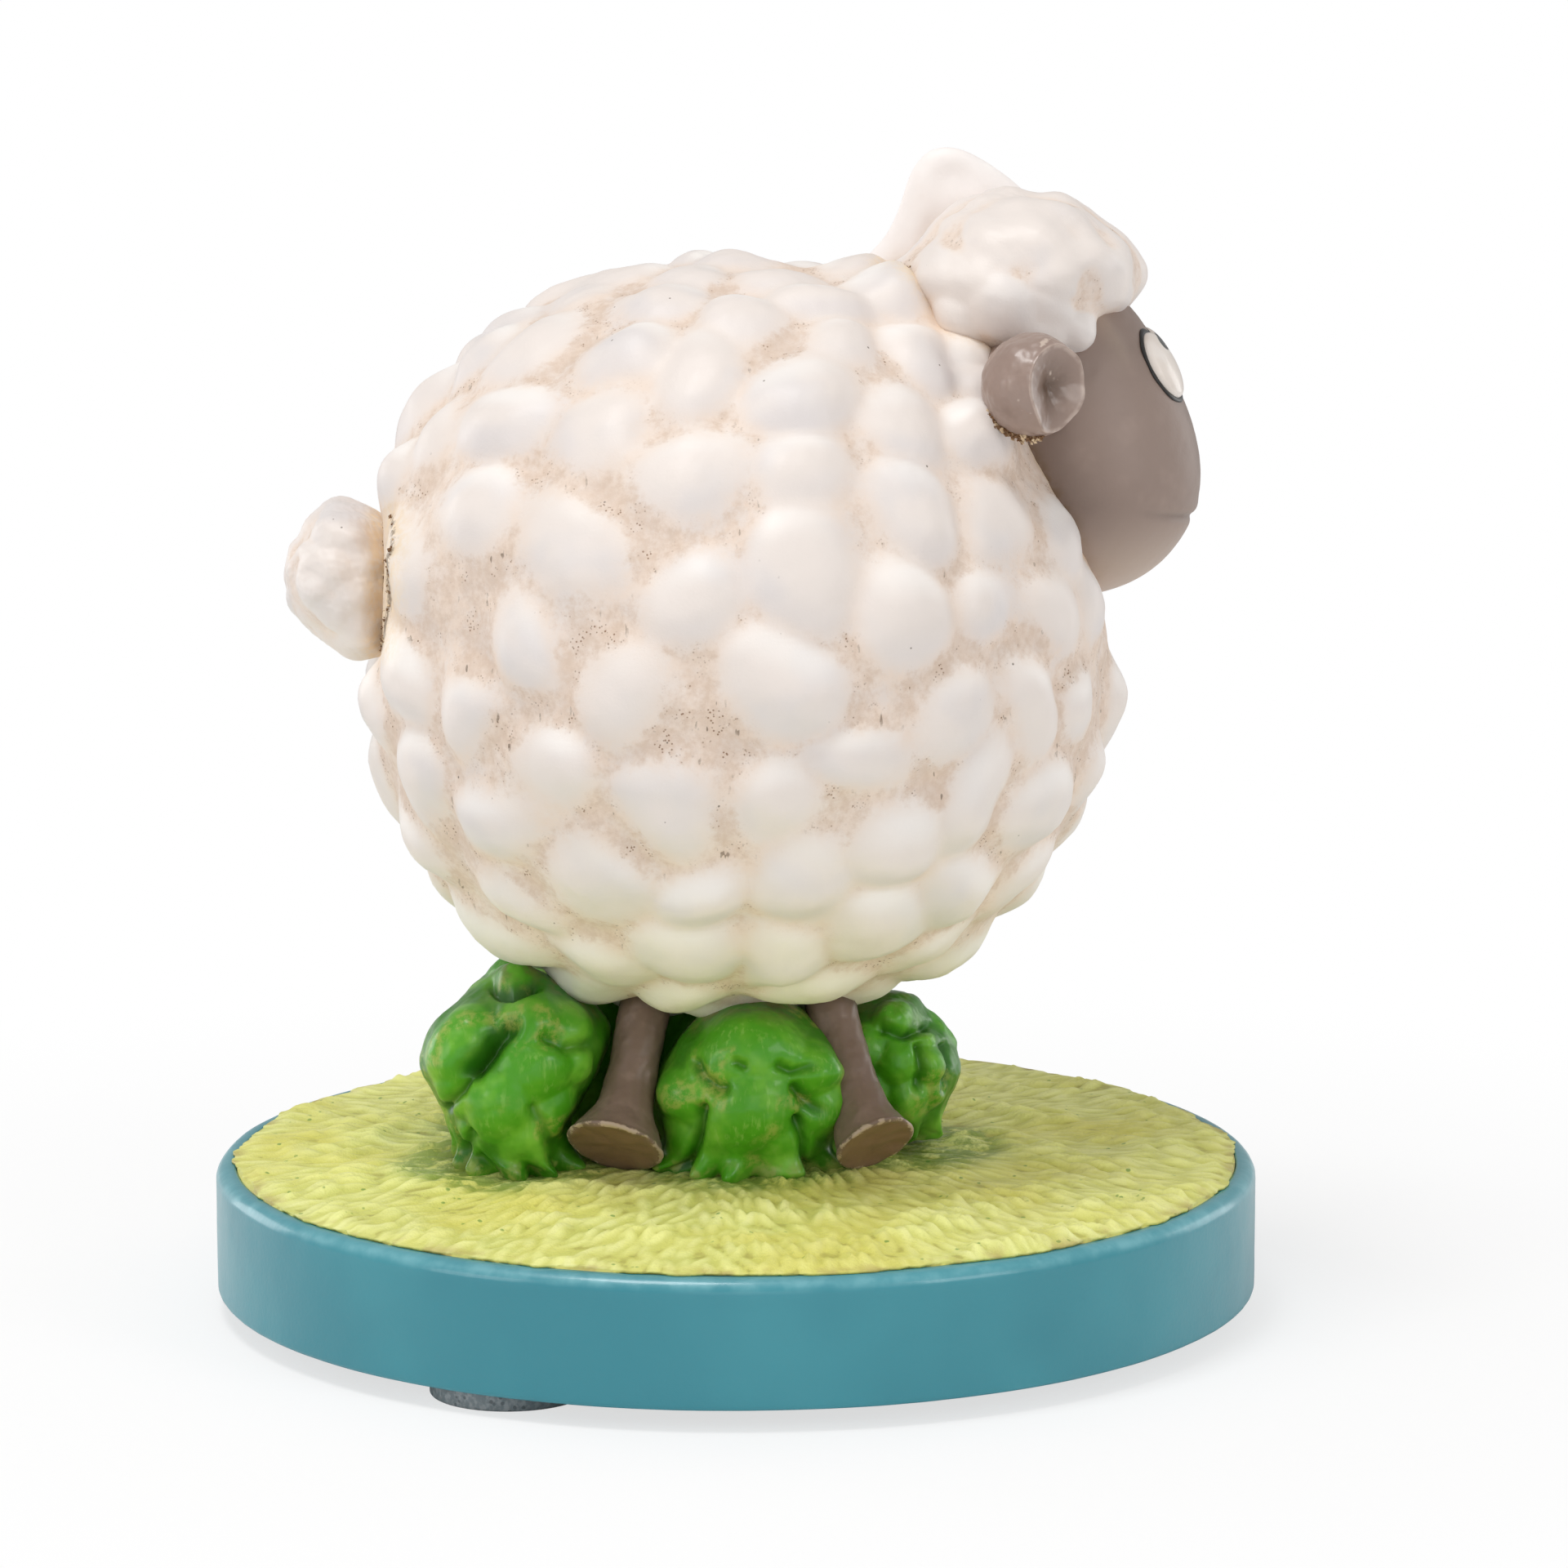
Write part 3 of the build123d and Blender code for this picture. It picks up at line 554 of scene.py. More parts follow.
def make_head():
    """Egg profile carried round the leaning axis, plus bells for the mouth crease, lip and brows, and faint waves."""
    lower = np.linspace(-90, 0, 75)[1:]
    middle = np.linspace(0, math.degrees(CHEEK_TURN), 80)[1:]
    upper = np.linspace(math.degrees(CHEEK_TURN), 90, 38)[1:-1]
    arcs = [(0.0, HEAD_RADIUS, HEAD_RADIUS, lower), (-CHEEK_INSET, HEAD_RADIUS, CHEEK_RADIUS, middle),
            (0.0, CROWN_UP, CROWN_RADIUS, upper)]
    out = np.concatenate([c + r * np.cos(np.radians(t)) for c, u, r, t in arcs])[:, None]
    up = np.concatenate([u + r * np.sin(np.radians(t)) for c, u, r, t in arcs])[:, None]
    slope = np.concatenate([np.radians(t) for c, u, r, t in arcs])[:, None]
    turn = around(240)[None]
    round_ways = np.cos(turn)[..., None] * HEAD_FRONT - np.sin(turn)[..., None] * LEFTWARD
    outwards = np.cos(slope)[..., None] * round_ways + np.sin(slope)[..., None] * HEAD_UP
    plain = CHIN + out[..., None] * round_ways + up[..., None] * HEAD_UP
    side = (np.degrees(turn) + 180) % 360 - 180
    front = step(75, 30, np.abs(side))
    mouth = bell(up - (MOUTH_UP + MOUTH_BEND * side**2), 0.36) * front
    lip = bell(up - (LIP_UP + MOUTH_BEND * side**2), 0.6) * front
    brow = bell(np.abs(side) - BROW_TURN, 7.0) * step(20, 24, up)
    lump = -MOUTH_DEPTH * mouth + LIP_RISE * lip + BROW_RISE * brow
    lump = lump + 0.06 * waves(plain, 9.0, 31) + 0.006 * waves(plain, 1.6, 32)
    rings = plain + lump[..., None] * outwards
    marks = {
        "mouth": mouth,
        "collar": touch(fleece_form.gap(rings), 0.7),
        "shade": touch(fleece_form.gap(rings), 5.0),
        "brow": brow,
    }
    return skin("face_casting", rings, CHIN, CHIN + HEAD_UP * (CROWN_UP + CROWN_RADIUS), marks)


# ---------------------------------------------------------------- topknot and tail

TOPKNOT_CENTRE = (26.0, 0.0, 97.0)
TOPKNOT_DEPTH = 14.2
TOPKNOT_OUTLINE = (
    (4, 12.3), (9, 12.7), (14, 12.7), (22, 12.2), (37, 11.1), (51, 10.8), (63, 10.5), (75, 9.8), (85, 9.8),
    (97, 10.0), (118, 10.0), (144, 9.8), (162, 10.8), (175, 12.4), (191, 12.0), (207, 11.6), (220, 11.0), (236, 10.6),
    (250, 10.2), (290, 9.6), (305, 9.8), (316, 9.9), (326, 10.0), (335, 9.6), (343, 9.4), (352, 11.3),
)
# Lobes that the camera sees: across, up, half width and height
TOPKNOT_LOBES = (
    (-4.3, 0.6, 2.9, 1.0), (-1.2, -2.5, 3.1, 1.2), (4.4, -0.5, 3.3, 1.1), (8.6, -4.4, 2.9, 1.3), (10.6, 0.6, 3.4, 1.1),
    (-2.4, 4.9, 4.2, 0.9), (2.6, 6.0, 5.0, 1.2), (8.0, 4.4, 3.6, 0.9), (-8.4, 2.2, 3.6, 0.7), (3.2, -6.4, 2.8, 0.9),
    (-6.4, -4.0, 2.6, 0.7), (12.0, 2.6, 2.4, 0.8),
)
# How far a lobed form is drawn in towards the viewer, so that its lobes come out at the right depth
LOBE_SINK = 0.95
TAIL_CENTRE = (-37.0, 0.0, 70.0)
TAIL_DEPTH = 8.0
TAIL_OUTLINE = (
    (20, 6.4), (50, 6.8), (75, 7.4), (98, 7.8), (104, 7.7), (112, 7.2), (128, 6.3), (152, 6.0), (167, 6.0), (186, 5.8),
    (205, 5.9), (215, 5.9), (235, 6.0), (248, 6.2), (261, 6.8), (270, 7.5), (280, 7.9), (294, 8.0), (330, 7.0),
)
TAIL_LOBES = (
    (-1.0, 4.6, 2.9, 0.7), (0.9, 4.4, 2.6, 0.8), (-3.2, 1.6, 2.9, 0.6), (-3.6, -1.8, 2.8, 0.7), (-0.4, 0.6, 3.0, 0.6),
    (-1.4, -4.2, 2.8, 0.7), (1.8, -5.4, 2.8, 0.8), (1.6, -2.0, 2.9, 0.6), (2.4, 1.6, 2.6, 0.5),
)
# Where the camera sees the tail meet the wool: across and up from the tail's middle
TAIL_LINE = (
    (5.2, 5.2), (5.5, 3.8), (5.5, 2.3), (4.9, 1.1), (4.8, -0.5), (5.1, -2.6), (4.6, -4.5), (4.2, -6.8),
)


def clump_form(centre, outline, depth, lobes, seed, waviness):
    """Outline ellipse with soft lobes on both sides: those given as seen from the right, and their mirror image."""
    across, up, width, height = np.array(lobes).T
    toward = np.sqrt(np.maximum(depth**2 - (across**2 + up**2) * 0.8, 4.0))
    places = np.concatenate([view_ways(across, up, toward, side) for side in (-1, 1)])
    widths, heights = np.tile(width, 2), 1.25 * np.tile(height, 2)

    def reach(ways):
        plain = outline_reach(ways, outline, depth, 5.0) - LOBE_SINK * np.abs(seen(ways)[2])
        bumps = domes(ways, places, widths, heights, (depth + 10) / 2, 2.3, seed, 0.015)
        return plain + bumps + waviness * waves(ways * 11, 4.5, seed + 9) + 0.015 * waves(ways * 11, 1.1, seed + 8)

    return Form(centre, reach)


topknot_form = clump_form(TOPKNOT_CENTRE, TOPKNOT_OUTLINE, TOPKNOT_DEPTH, TOPKNOT_LOBES, 21, 0.2)
tail_form = clump_form(TAIL_CENTRE, TAIL_OUTLINE, TAIL_DEPTH, TAIL_LOBES, 22, 0.1)

# ---------------------------------------------------------------- ears

EAR_RADIUS = 4.75
EAR_STUB = 3.2
EAR_HOLLOW = 3.0
EAR_BLEND = 0.4
# The middle of the ear's ball and its root on the head: ahead of the chin, up the leaning axis and aside
EAR_TIP = (-2.6, 22.8, 19.5)
EAR_ROOT = (-4.4, 23.4, 8.0)
# The way the hollow of the right ear faces, and the lip's angle from it: all round, and more where it hangs
EAR_AXIS = (0.71, -0.7, 0.04)
EAR_LIP_ANGLE = 48
EAR_LIP_DROP = 17


def ear_spot(spot, side):
    """A spot given from the chin along the head's own axes."""
    ahead, up, aside = spot
    return CHIN + ahead * HEAD_FRONT + up * HEAD_UP + side * aside * LEFTWARD


def make_ear(name, side):
    """Ball with a stub to the head, dented round an axis: the dent 1 - t^2.4 ends at a lip that hangs in a drop."""
    tip, root = ear_spot(EAR_TIP, side), ear_spot(EAR_ROOT, side)
    stub, length = unit(root - tip), np.linalg.norm(root - tip)
    axis = unit(EAR_AXIS * flip(side))
    upward = unit(np.cross(np.cross(axis, (0, 0, 1)), axis))
    sideways = np.cross(axis, upward)
    turn = around(160)[None]
    below = (np.degrees(turn) + 360) % 360 - 180
    lip_angle = np.radians(EAR_LIP_ANGLE + EAR_LIP_DROP * bell(below, 34) + 3 * np.cos(turn - 0.6))
    inside = np.linspace(0, 1, 61)[1:, None] ** 0.75
    outside = np.linspace(0, 1, 100)[1:-1, None] ** 1.4
    fall = np.concatenate([inside * lip_angle, lip_angle + outside * (np.pi - lip_angle)])
    ways = (np.cos(fall)[..., None] * axis
            + np.sin(fall)[..., None] * (np.cos(turn)[..., None] * upward + np.sin(turn)[..., None] * sideways))
    lean = np.clip(ways @ stub, -1, 1)
    tube = np.minimum(EAR_STUB / np.sqrt(np.maximum(1 - lean**2, 1e-4)), length / np.maximum(lean, 0.05))
    tube = np.where(lean > 0, tube, 0)
    share = np.minimum(fall / lip_angle, 1)
    lip = bell((fall - lip_angle) * EAR_RADIUS, 0.3)
    second = 0.5 * bell((fall - lip_angle) * EAR_RADIUS + 1.0, 0.3) * step(0.2, 0.9, np.cos(turn - 0.5))
    reach = EAR_BLEND * np.log(np.exp(EAR_RADIUS / EAR_BLEND) + np.exp(tube / EAR_BLEND))
    reach = reach - EAR_HOLLOW * (1 - share**2.4) * (fall < lip_angle) + 0.12 * lip + 0.2 * second
    reach = reach + 0.05 * waves(ways * 5, 3.0, 41) + 0.015 * waves(ways * 5, 1.0, 42)
    rings = tip + ways * reach[..., None]
    marks = {
        "hollow": (1 - share**1.5) * (fall < lip_angle),
        "lip": np.maximum(lip, second),
        "collar": touch(fleece_form.gap(rings), 0.45),
    }
    ends = (tip + (EAR_RADIUS - EAR_HOLLOW) * axis, tip - EAR_RADIUS * axis)
    return skin(name, rings, ends[0], ends[1], marks)


# ---------------------------------------------------------------- turf

TURF_FLOOR = 13.05
PLINTH_TOP = 14.0
TURF_EDGE = 14.6
TURF_RISE = 0.8
TURF_RADIUS = 48.0
# Mean radius of the ragged edge, its limits, and the radius of the wall in the seat
TURF_RIM = 48.05
TURF_RIM_LIMITS = (47.3, 48.65)
TURF_WALL = 47.95
# How far the brushed dome is sunk under the plain one, and how far its edge stands over the plinth
TURF_SINK = 0.3
TURF_LIP = 0.28
# Spacing along the radius and width of the brush dabs, and their height
DABS = (4.0, 1.15)
FINE_DABS = (1.5, 0.7)
DAB_HEIGHT = 0.95
# Radius of the green smears round each cabbage
SMEAR_RADIUS = 9.2
CABBAGE_PLACES = ((-21.33, -8.46), (1.71, -8.64), (14.58, -0.9), (-18.45, 8.28), (1.71, 8.82))
DOME_RADIUS = (TURF_RADIUS**2 + TURF_RISE**2) / (2 * TURF_RISE)
DOME_CENTRE = TURF_EDGE + TURF_RISE - DOME_RADIUS


def turf_height(ahead, side):
    """Height of the plain dome."""
    return DOME_CENTRE + np.sqrt(DOME_RADIUS**2 - ahead**2 - side**2)


def dabs(radius, turn, spacing, width, seed):
    """Brush dabs laid in rings: each is a leaning oval bell, longer along the radius, at a random place in its cell.

    Gives the height from 0 to 1, which is the highest bell's, and a random shade for the dab on top.
    """
    best, shade = np.zeros(radius.shape), np.zeros(radius.shape)
    for ring in (-1, 0, 1):
        band = np.floor(radius / spacing) + ring
        count = np.maximum(np.round(2 * np.pi * (np.abs(band) + 0.5) * spacing / width), 3)
        cell = np.floor(turn / (2 * np.pi) * count)
        for beside in (-1, 0, 1):
            here = (cell + beside) % count
            away = radius - (band + 0.15 + 0.7 * scatter(band, here, seed)) * spacing
            aside = turn - (cell + beside + 0.15 + 0.7 * scatter(here, band, seed + 1)) / count * 2 * np.pi
            aside = aside * np.maximum(radius, 1.0)
            twist = (scatter(here, band, seed + 2) - 0.5) * 0.9
            along, over = away * np.cos(twist) + aside * np.sin(twist), aside * np.cos(twist) - away * np.sin(twist)
            mound = np.exp(-((along / (spacing * 0.62)) ** 2) - (over / (width * 0.5)) ** 2)
            mound = mound * (0.5 + 0.5 * scatter(here, band, seed + 3)) * np.clip(1 + 0.7 * along / spacing, 0.3, 1.6)
            shade = np.where(mound > best, scatter(here, band, seed + 4), shade)
            best = np.maximum(best, mound)
    return best, shade


def make_turf():
    """Dome of brush dabs with a ragged lip that hangs a little over the plinth's rim."""
    rows, columns = TURF_GRID
    turn = around(columns)[None]
    circle = about_z(TURF_RADIUS, turn, 0)
    edge = TURF_RIM + 0.26 * waves(circle, 16.0, 51)[0] + 0.17 * waves(circle, 4.6, 52)[0]
    edge = edge + 0.09 * waves(circle, 1.5, 53)[0]
    edge = np.clip(edge, *TURF_RIM_LIMITS)[None]
    shares = np.linspace(1, 0, rows)[:-1, None] ** 0.85
    radius = edge * shares
    mound, shade = dabs(radius, turn, *DABS, 3)
    fine = dabs(radius, turn, *FINE_DABS, 9)[0]
    points = about_z(radius, turn, 0)
    inner = step(0.0, 5.0, radius)
    near_edge = step(1.0, 0.965, shares)
    high = turf_height(points[..., 0], points[..., 1]) - TURF_SINK
    rough = 0.35 + 0.65 * step(-0.6, 0.8, waves(points, 11.0, 55))
    high = high + inner * rough * (DAB_HEIGHT * mound + 0.1 * fine) + 0.12 * waves(points, 9.0, 54)
    high = PLINTH_TOP + TURF_LIP + (high - PLINTH_TOP - TURF_LIP) * near_edge
    top = about_z(radius, turn, high)
    wall = ((TURF_WALL, TURF_FLOOR), (TURF_WALL, PLINTH_TOP + 0.02), (edge, PLINTH_TOP + 0.03))
    rings = np.concatenate([about_z(reach, turn, level) for reach, level in wall] + [top])
    none = np.zeros((len(wall), columns))
    nearest = np.minimum.reduce([np.hypot(top[..., 0] - ahead, top[..., 1] - side) for ahead, side in CABBAGE_PLACES])
    marks = {
        "dab": np.concatenate([none, mound]),
        "shade": np.concatenate([none + 0.5, shade]),
        "fine": np.concatenate([none, fine]),
        "edge": np.concatenate([none + 1, 1 - near_edge + 0 * turn]),
        "leafy": np.concatenate([none, touch(nearest - SMEAR_RADIUS, 2.2)]),
    }
    return skin("turf_casting", rings, (0, 0, TURF_FLOOR), (0, 0, float(high[-1].mean())), marks)


# ---------------------------------------------------------------- plinth

PLINTH_RADIUS = 49.93
PLINTH_FOOT = 2.0
FOOT_ROUND = 0.5
BROW_ROUND = 1.4
SEAT_RADIUS = 48.06
SEAT_DEPTH = 1.0


def make_plinth():
    """Disc profile turned about Z: foot round, side with a faint waviness, broad top round, and the turf's seat."""
    foot_out, foot_up = PLINTH_RADIUS - FOOT_ROUND, PLINTH_FOOT + FOOT_ROUND
    brow_out, brow_up = PLINTH_RADIUS - BROW_ROUND, PLINTH_TOP - BROW_ROUND
    foot = [(foot_out + FOOT_ROUND * math.sin(t), foot_up - FOOT_ROUND * math.cos(t))
            for t in np.linspace(0, np.pi / 2, 8)]
    side = [(PLINTH_RADIUS, z) for z in np.linspace(foot_up, brow_up, 16)[1:-1]]
    brow = [(brow_out + BROW_ROUND * math.cos(t), brow_up + BROW_ROUND * math.sin(t))
            for t in np.linspace(0, np.pi / 2, 16)]
    flat = [(r, PLINTH_TOP) for r in (48.3, SEAT_RADIUS)]
    flat += [(r, PLINTH_TOP - SEAT_DEPTH) for r in (SEAT_RADIUS, 30.0, 12.0)]
    base = [(r, PLINTH_FOOT) for r in (12.0, 30.0, 44.0)]
    profile = np.array(base + foot + side + brow + flat)
    turn = around(400)[None]
    radius, level = profile[:, :1], profile[:, 1:]
    rings = about_z(radius, turn, level)
    skinwave = 0.022 * waves(rings, 14.0, 61) + 0.008 * waves(rings, 3.0, 62)
    outer = step(46.0, 49.0, radius)
    rings[..., :2] *= (1 + np.clip(skinwave, -0.06, 0.06) * outer / 50)[..., None]
    # The brow mark is where a highlight is painted along the rounded top edge
    marks = {"brow": bell(level - (PLINTH_TOP - 0.45), 0.5) * step(48.2, 48.9, radius)}
    return skin("plinth_casting", rings, (0, 0, PLINTH_FOOT), (0, 0, PLINTH_TOP - SEAT_DEPTH), marks)


# ---------------------------------------------------------------- legs

LEG_RADIUS = 2.38
HOOF_RADIUS = 4.5

# Where each leg leaves the fleece, the middle of its sole, the way the sole faces (across, up, towards) and hoof size
LEGS = {
    "rear": ((-8.3, -6.6, 31.5), (-11.25, -15.0, 18.25), (-0.22, -0.85, 0.47), 1.0),
    "front": ((8.7, -6.6, 31.5), (13.15, -15.0, 18.5), (0.38, -0.78, 0.5), 0.84),
}

# Rings of the sole from its rim inward: share of the radius, lift, and the marks for sole and edge
SOLE_RINGS = np.array((
    (0.985, 0.1, 0.0, 1.0), (0.95, 0.16, 0.35, 0.8), (0.88, 0.12, 0.8, 0.2), (0.78, 0.02, 1.0, 0.0),
    (0.6, -0.06, 1.0, 0.0), (0.4, -0.1, 1.0, 0.0), (0.2, -0.12, 1.0, 0.0),
))


def make_leg(name, which, side):
    """Circle carried along a cubic curve from the fleece to the hoof. The curve bends so that the sole faces out, and
    the circle flares to the hoof over the second half."""
    top, sole, facing, size = LEGS[which]
    top, sole = np.array(top) * flip(side), np.array(sole) * flip(side)
    across, up, toward = facing
    end_way = unit((across * RIGHT + up * RISE + toward * TOWARD) * flip(side))
    start_way = unit(sole - top + np.array([0, 0, -6.0]))
    length = np.linalg.norm(sole - top)
    share = np.linspace(0, 1, 90)
    t = share[:, None]
    curve = ((2 * t**3 - 3 * t**2 + 1) * top + (t**3 - 2 * t**2 + t) * start_way * length
             + (-2 * t**3 + 3 * t**2) * sole + (t**3 - t**2) * end_way * length * 0.75)
    ahead = unit(np.gradient(curve, axis=0))
    ahead[-1] = end_way
    level = unit(np.cross(ahead, np.array([0.0, side, 0.15])))
    other = np.cross(ahead, level)
    flare = (HOOF_RADIUS * size - LEG_RADIUS) * step(0.5, 1.06, share) ** 1.4 * 1.06
    bead = 0.16 * bell(share - 0.985, 0.02)
    radius = LEG_RADIUS * (1.02 - 0.04 * share) + flare + bead
    turn = around(120)[None, :, None]
    spokes = np.cos(turn) * level[:, None] + np.sin(turn) * other[:, None]
    shank = curve[:, None] + radius[:, None, None] * spokes
    shank = shank + (0.07 * waves(shank, 4.0, 81 + side) + 0.02 * waves(shank, 1.2, 83))[..., None] * spokes
    sole_share, lift, sole_flat, sole_edge = SOLE_RINGS.T
    disc = sole + lift[:, None, None] * end_way + (radius[-1] * sole_share[:, None, None]) * spokes[-1][None]
    disc = disc + (0.06 * waves(disc, 2.2, 85 + side))[..., None] * end_way
    rings = np.concatenate([shank, disc])
    rings[..., 2] = np.maximum(rings[..., 2], turf_height(rings[..., 0], rings[..., 1]) - 0.5)
    marks = {
        "sole": np.concatenate([0 * share, sole_flat])[:, None],
        "edge": np.concatenate([bell(share - 1.0, 0.035), sole_edge])[:, None],
        "collar": touch(fleece_form.gap(rings), 0.8),
        "ground": bell(rings[..., 2] - turf_height(rings[..., 0], rings[..., 1]), 0.5),
    }
    return skin(name, rings, top, sole - 0.12 * end_way, marks)


# ---------------------------------------------------------------- cabbages

# Leaf lobes as seen from the cabbage's own side: across, up, half width, height
REAR_LOBES = (
    (-6.0, 2.2, 3.3, 1.7), (-4.6, 5.2, 2.6, 1.3), (2.4, 5.2, 3.2, 1.5), (3.4, 0.4, 3.6, 1.5), (-1.4, -3.6, 3.6, 1.5),
    (0.4, 9.6, 1.9, 1.2), (6.2, 5.0, 2.4, 1.1), (5.4, -4.2, 2.9, 1.2), (-6.6, -2.6, 2.6, 1.1), (7.4, 1.0, 2.2, 0.9),
    (1.8, -7.2, 2.6, 1.0), (-4.6, -7.4, 2.0, 0.8),
)
MIDDLE_LOBES = (
    (-0.4, 3.4, 4.6, 1.7), (-4.4, 1.8, 3.0, 1.2), (3.4, 3.0, 3.0, 1.3), (-7.4, -2.2, 2.6, 1.5), (-0.6, -3.8, 4.2, 1.6),
    (6.6, 0.6, 2.7, 1.9), (7.4, -3.6, 2.5, 1.5), (-6.6, -6.4, 2.4, 0.9), (3.2, -7.0, 2.6, 1.0), (-2.6, -8.4, 2.8, 0.9),
)
FRONT_LOBES = (
    (0.6, 4.4, 2.7, 1.4), (1.4, -0.4, 2.8, 1.2), (4.6, -1.0, 2.7, 1.3), (4.6, 2.4, 2.0, 0.9), (2.4, -5.0, 2.8, 1.2),
    (5.6, -4.6, 2.0, 0.9), (-3.4, 1.0, 3.2, 1.2), (-3.0, -4.6, 3.0, 1.1),
)
# Creases drawn the same way: depth, half width and path
REAR_CREASES = (
    (2.3, 0.95, ((0.2, 4.4), (-1.4, 3.0), (-2.6, 1.4), (-3.4, 0.2))),
    (0.9, 0.5, ((-3.4, 0.2), (-4.4, -1.8), (-5.8, -3.4))),
    (0.6, 0.6, ((3.6, 3.4), (5.4, 2.4), (7.4, 2.6))),
    (0.6, 0.6, ((2.6, -3.6), (3.4, -5.0), (4.0, -7.0))),
    (1.0, 0.5, ((-1.4, 8.0), (0.6, 7.4), (2.6, 8.2))),
    (0.8, 0.5, ((-3.6, -6.0), (-3.8, -8.0), (-4.2, -9.6))),
)
MIDDLE_CREASES = (
    (0.9, 0.6, ((-5.3, 0.9), (-4.7, -0.4), (-3.6, -1.4), (-2.8, -1.4))),
    (0.7, 0.45, ((-1.5, 1.1), (-0.9, 0.8))),
    (0.7, 0.45, ((2.5, 0.8), (3.8, 0.2), (5.0, 0.6))),
    (0.9, 0.6, ((4.2, -1.4), (5.0, -2.4), (5.9, -3.3))),
    (1.0, 0.5, ((-4.8, -3.4), (-5.2, -6.0), (-6.0, -9.0))),
    (0.9, 0.5, ((4.3, -4.6), (4.8, -6.6), (4.6, -9.0))),
)
FRONT_CREASES = (
    (0.9, 0.5, ((-0.6, 2.6), (1.6, 2.0), (3.6, 2.6))),
    (0.9, 0.5, ((2.9, 0.8), (3.2, -1.4), (2.8, -3.0))),
    (0.6, 0.4, ((5.6, 0.8), (6.0, -1.0), (5.2, -3.4))),
)
REAR_OUTLINE = (
    (10, 9.2), (24, 9.8), (38, 9.6), (58, 9.5), (74, 9.9), (83, 9.7), (95, 9.2), (104, 8.2), (129, 8.4), (144, 8.7),
    (173, 8.9), (184, 8.5), (196, 7.7), (213, 7.0), (227, 7.4), (239, 8.2), (258, 9.4), (283, 10.0), (297, 10.4),
    (319, 7.6), (340, 7.6), (354, 8.2),
)
MIDDLE_OUTLINE = (
    (0, 10.0), (8, 9.0), (24, 8.2), (40, 7.6), (60, 7.4), (100, 7.4), (138, 7.5), (149, 7.6), (166, 8.2), (181, 9.1),
    (190, 9.7), (215, 10.2), (223, 10.9), (230, 11.4), (246, 11.2), (269, 10.8), (301, 11.0), (313, 10.4), (326, 9.7),
    (342, 9.7), (351, 9.6),
)
FRONT_OUTLINE = (
    (0, 6.7), (14, 5.9), (34, 5.2), (51, 5.6), (64, 6.3), (90, 6.2), (117, 6.2), (160, 7.0), (200, 7.6), (240, 8.2),
    (290, 8.2), (314, 7.3), (331, 7.4), (346, 7.4),
)
REAR = (REAR_OUTLINE, REAR_LOBES, REAR_CREASES)
MIDDLE = (MIDDLE_OUTLINE, MIDDLE_LOBES, MIDDLE_CREASES)
FRONT = (FRONT_OUTLINE, FRONT_LOBES, FRONT_CREASES)
# Place, form, depth, side and seed
CABBAGES = {
    "cabbage_rear_right": (CABBAGE_PLACES[0], REAR, 8.4, -1, 101),
    "cabbage_middle_right": (CABBAGE_PLACES[1], MIDDLE, 9.0, -1, 102),
    "cabbage_front": (CABBAGE_PLACES[2], FRONT, 7.2, -1, 103),
    "cabbage_rear_left": (CABBAGE_PLACES[3], REAR, 7.9, 1, 104),
    "cabbage_middle_left": (CABBAGE_PLACES[4], MIDDLE, 8.8, 1, 105),
}
CABBAGE_LEVEL = 24.2
# How far a cabbage's foot reaches under the turf, and the tips of leaves round it
CABBAGE_SUNK = 0.6
CABBAGE_TIPS = 11


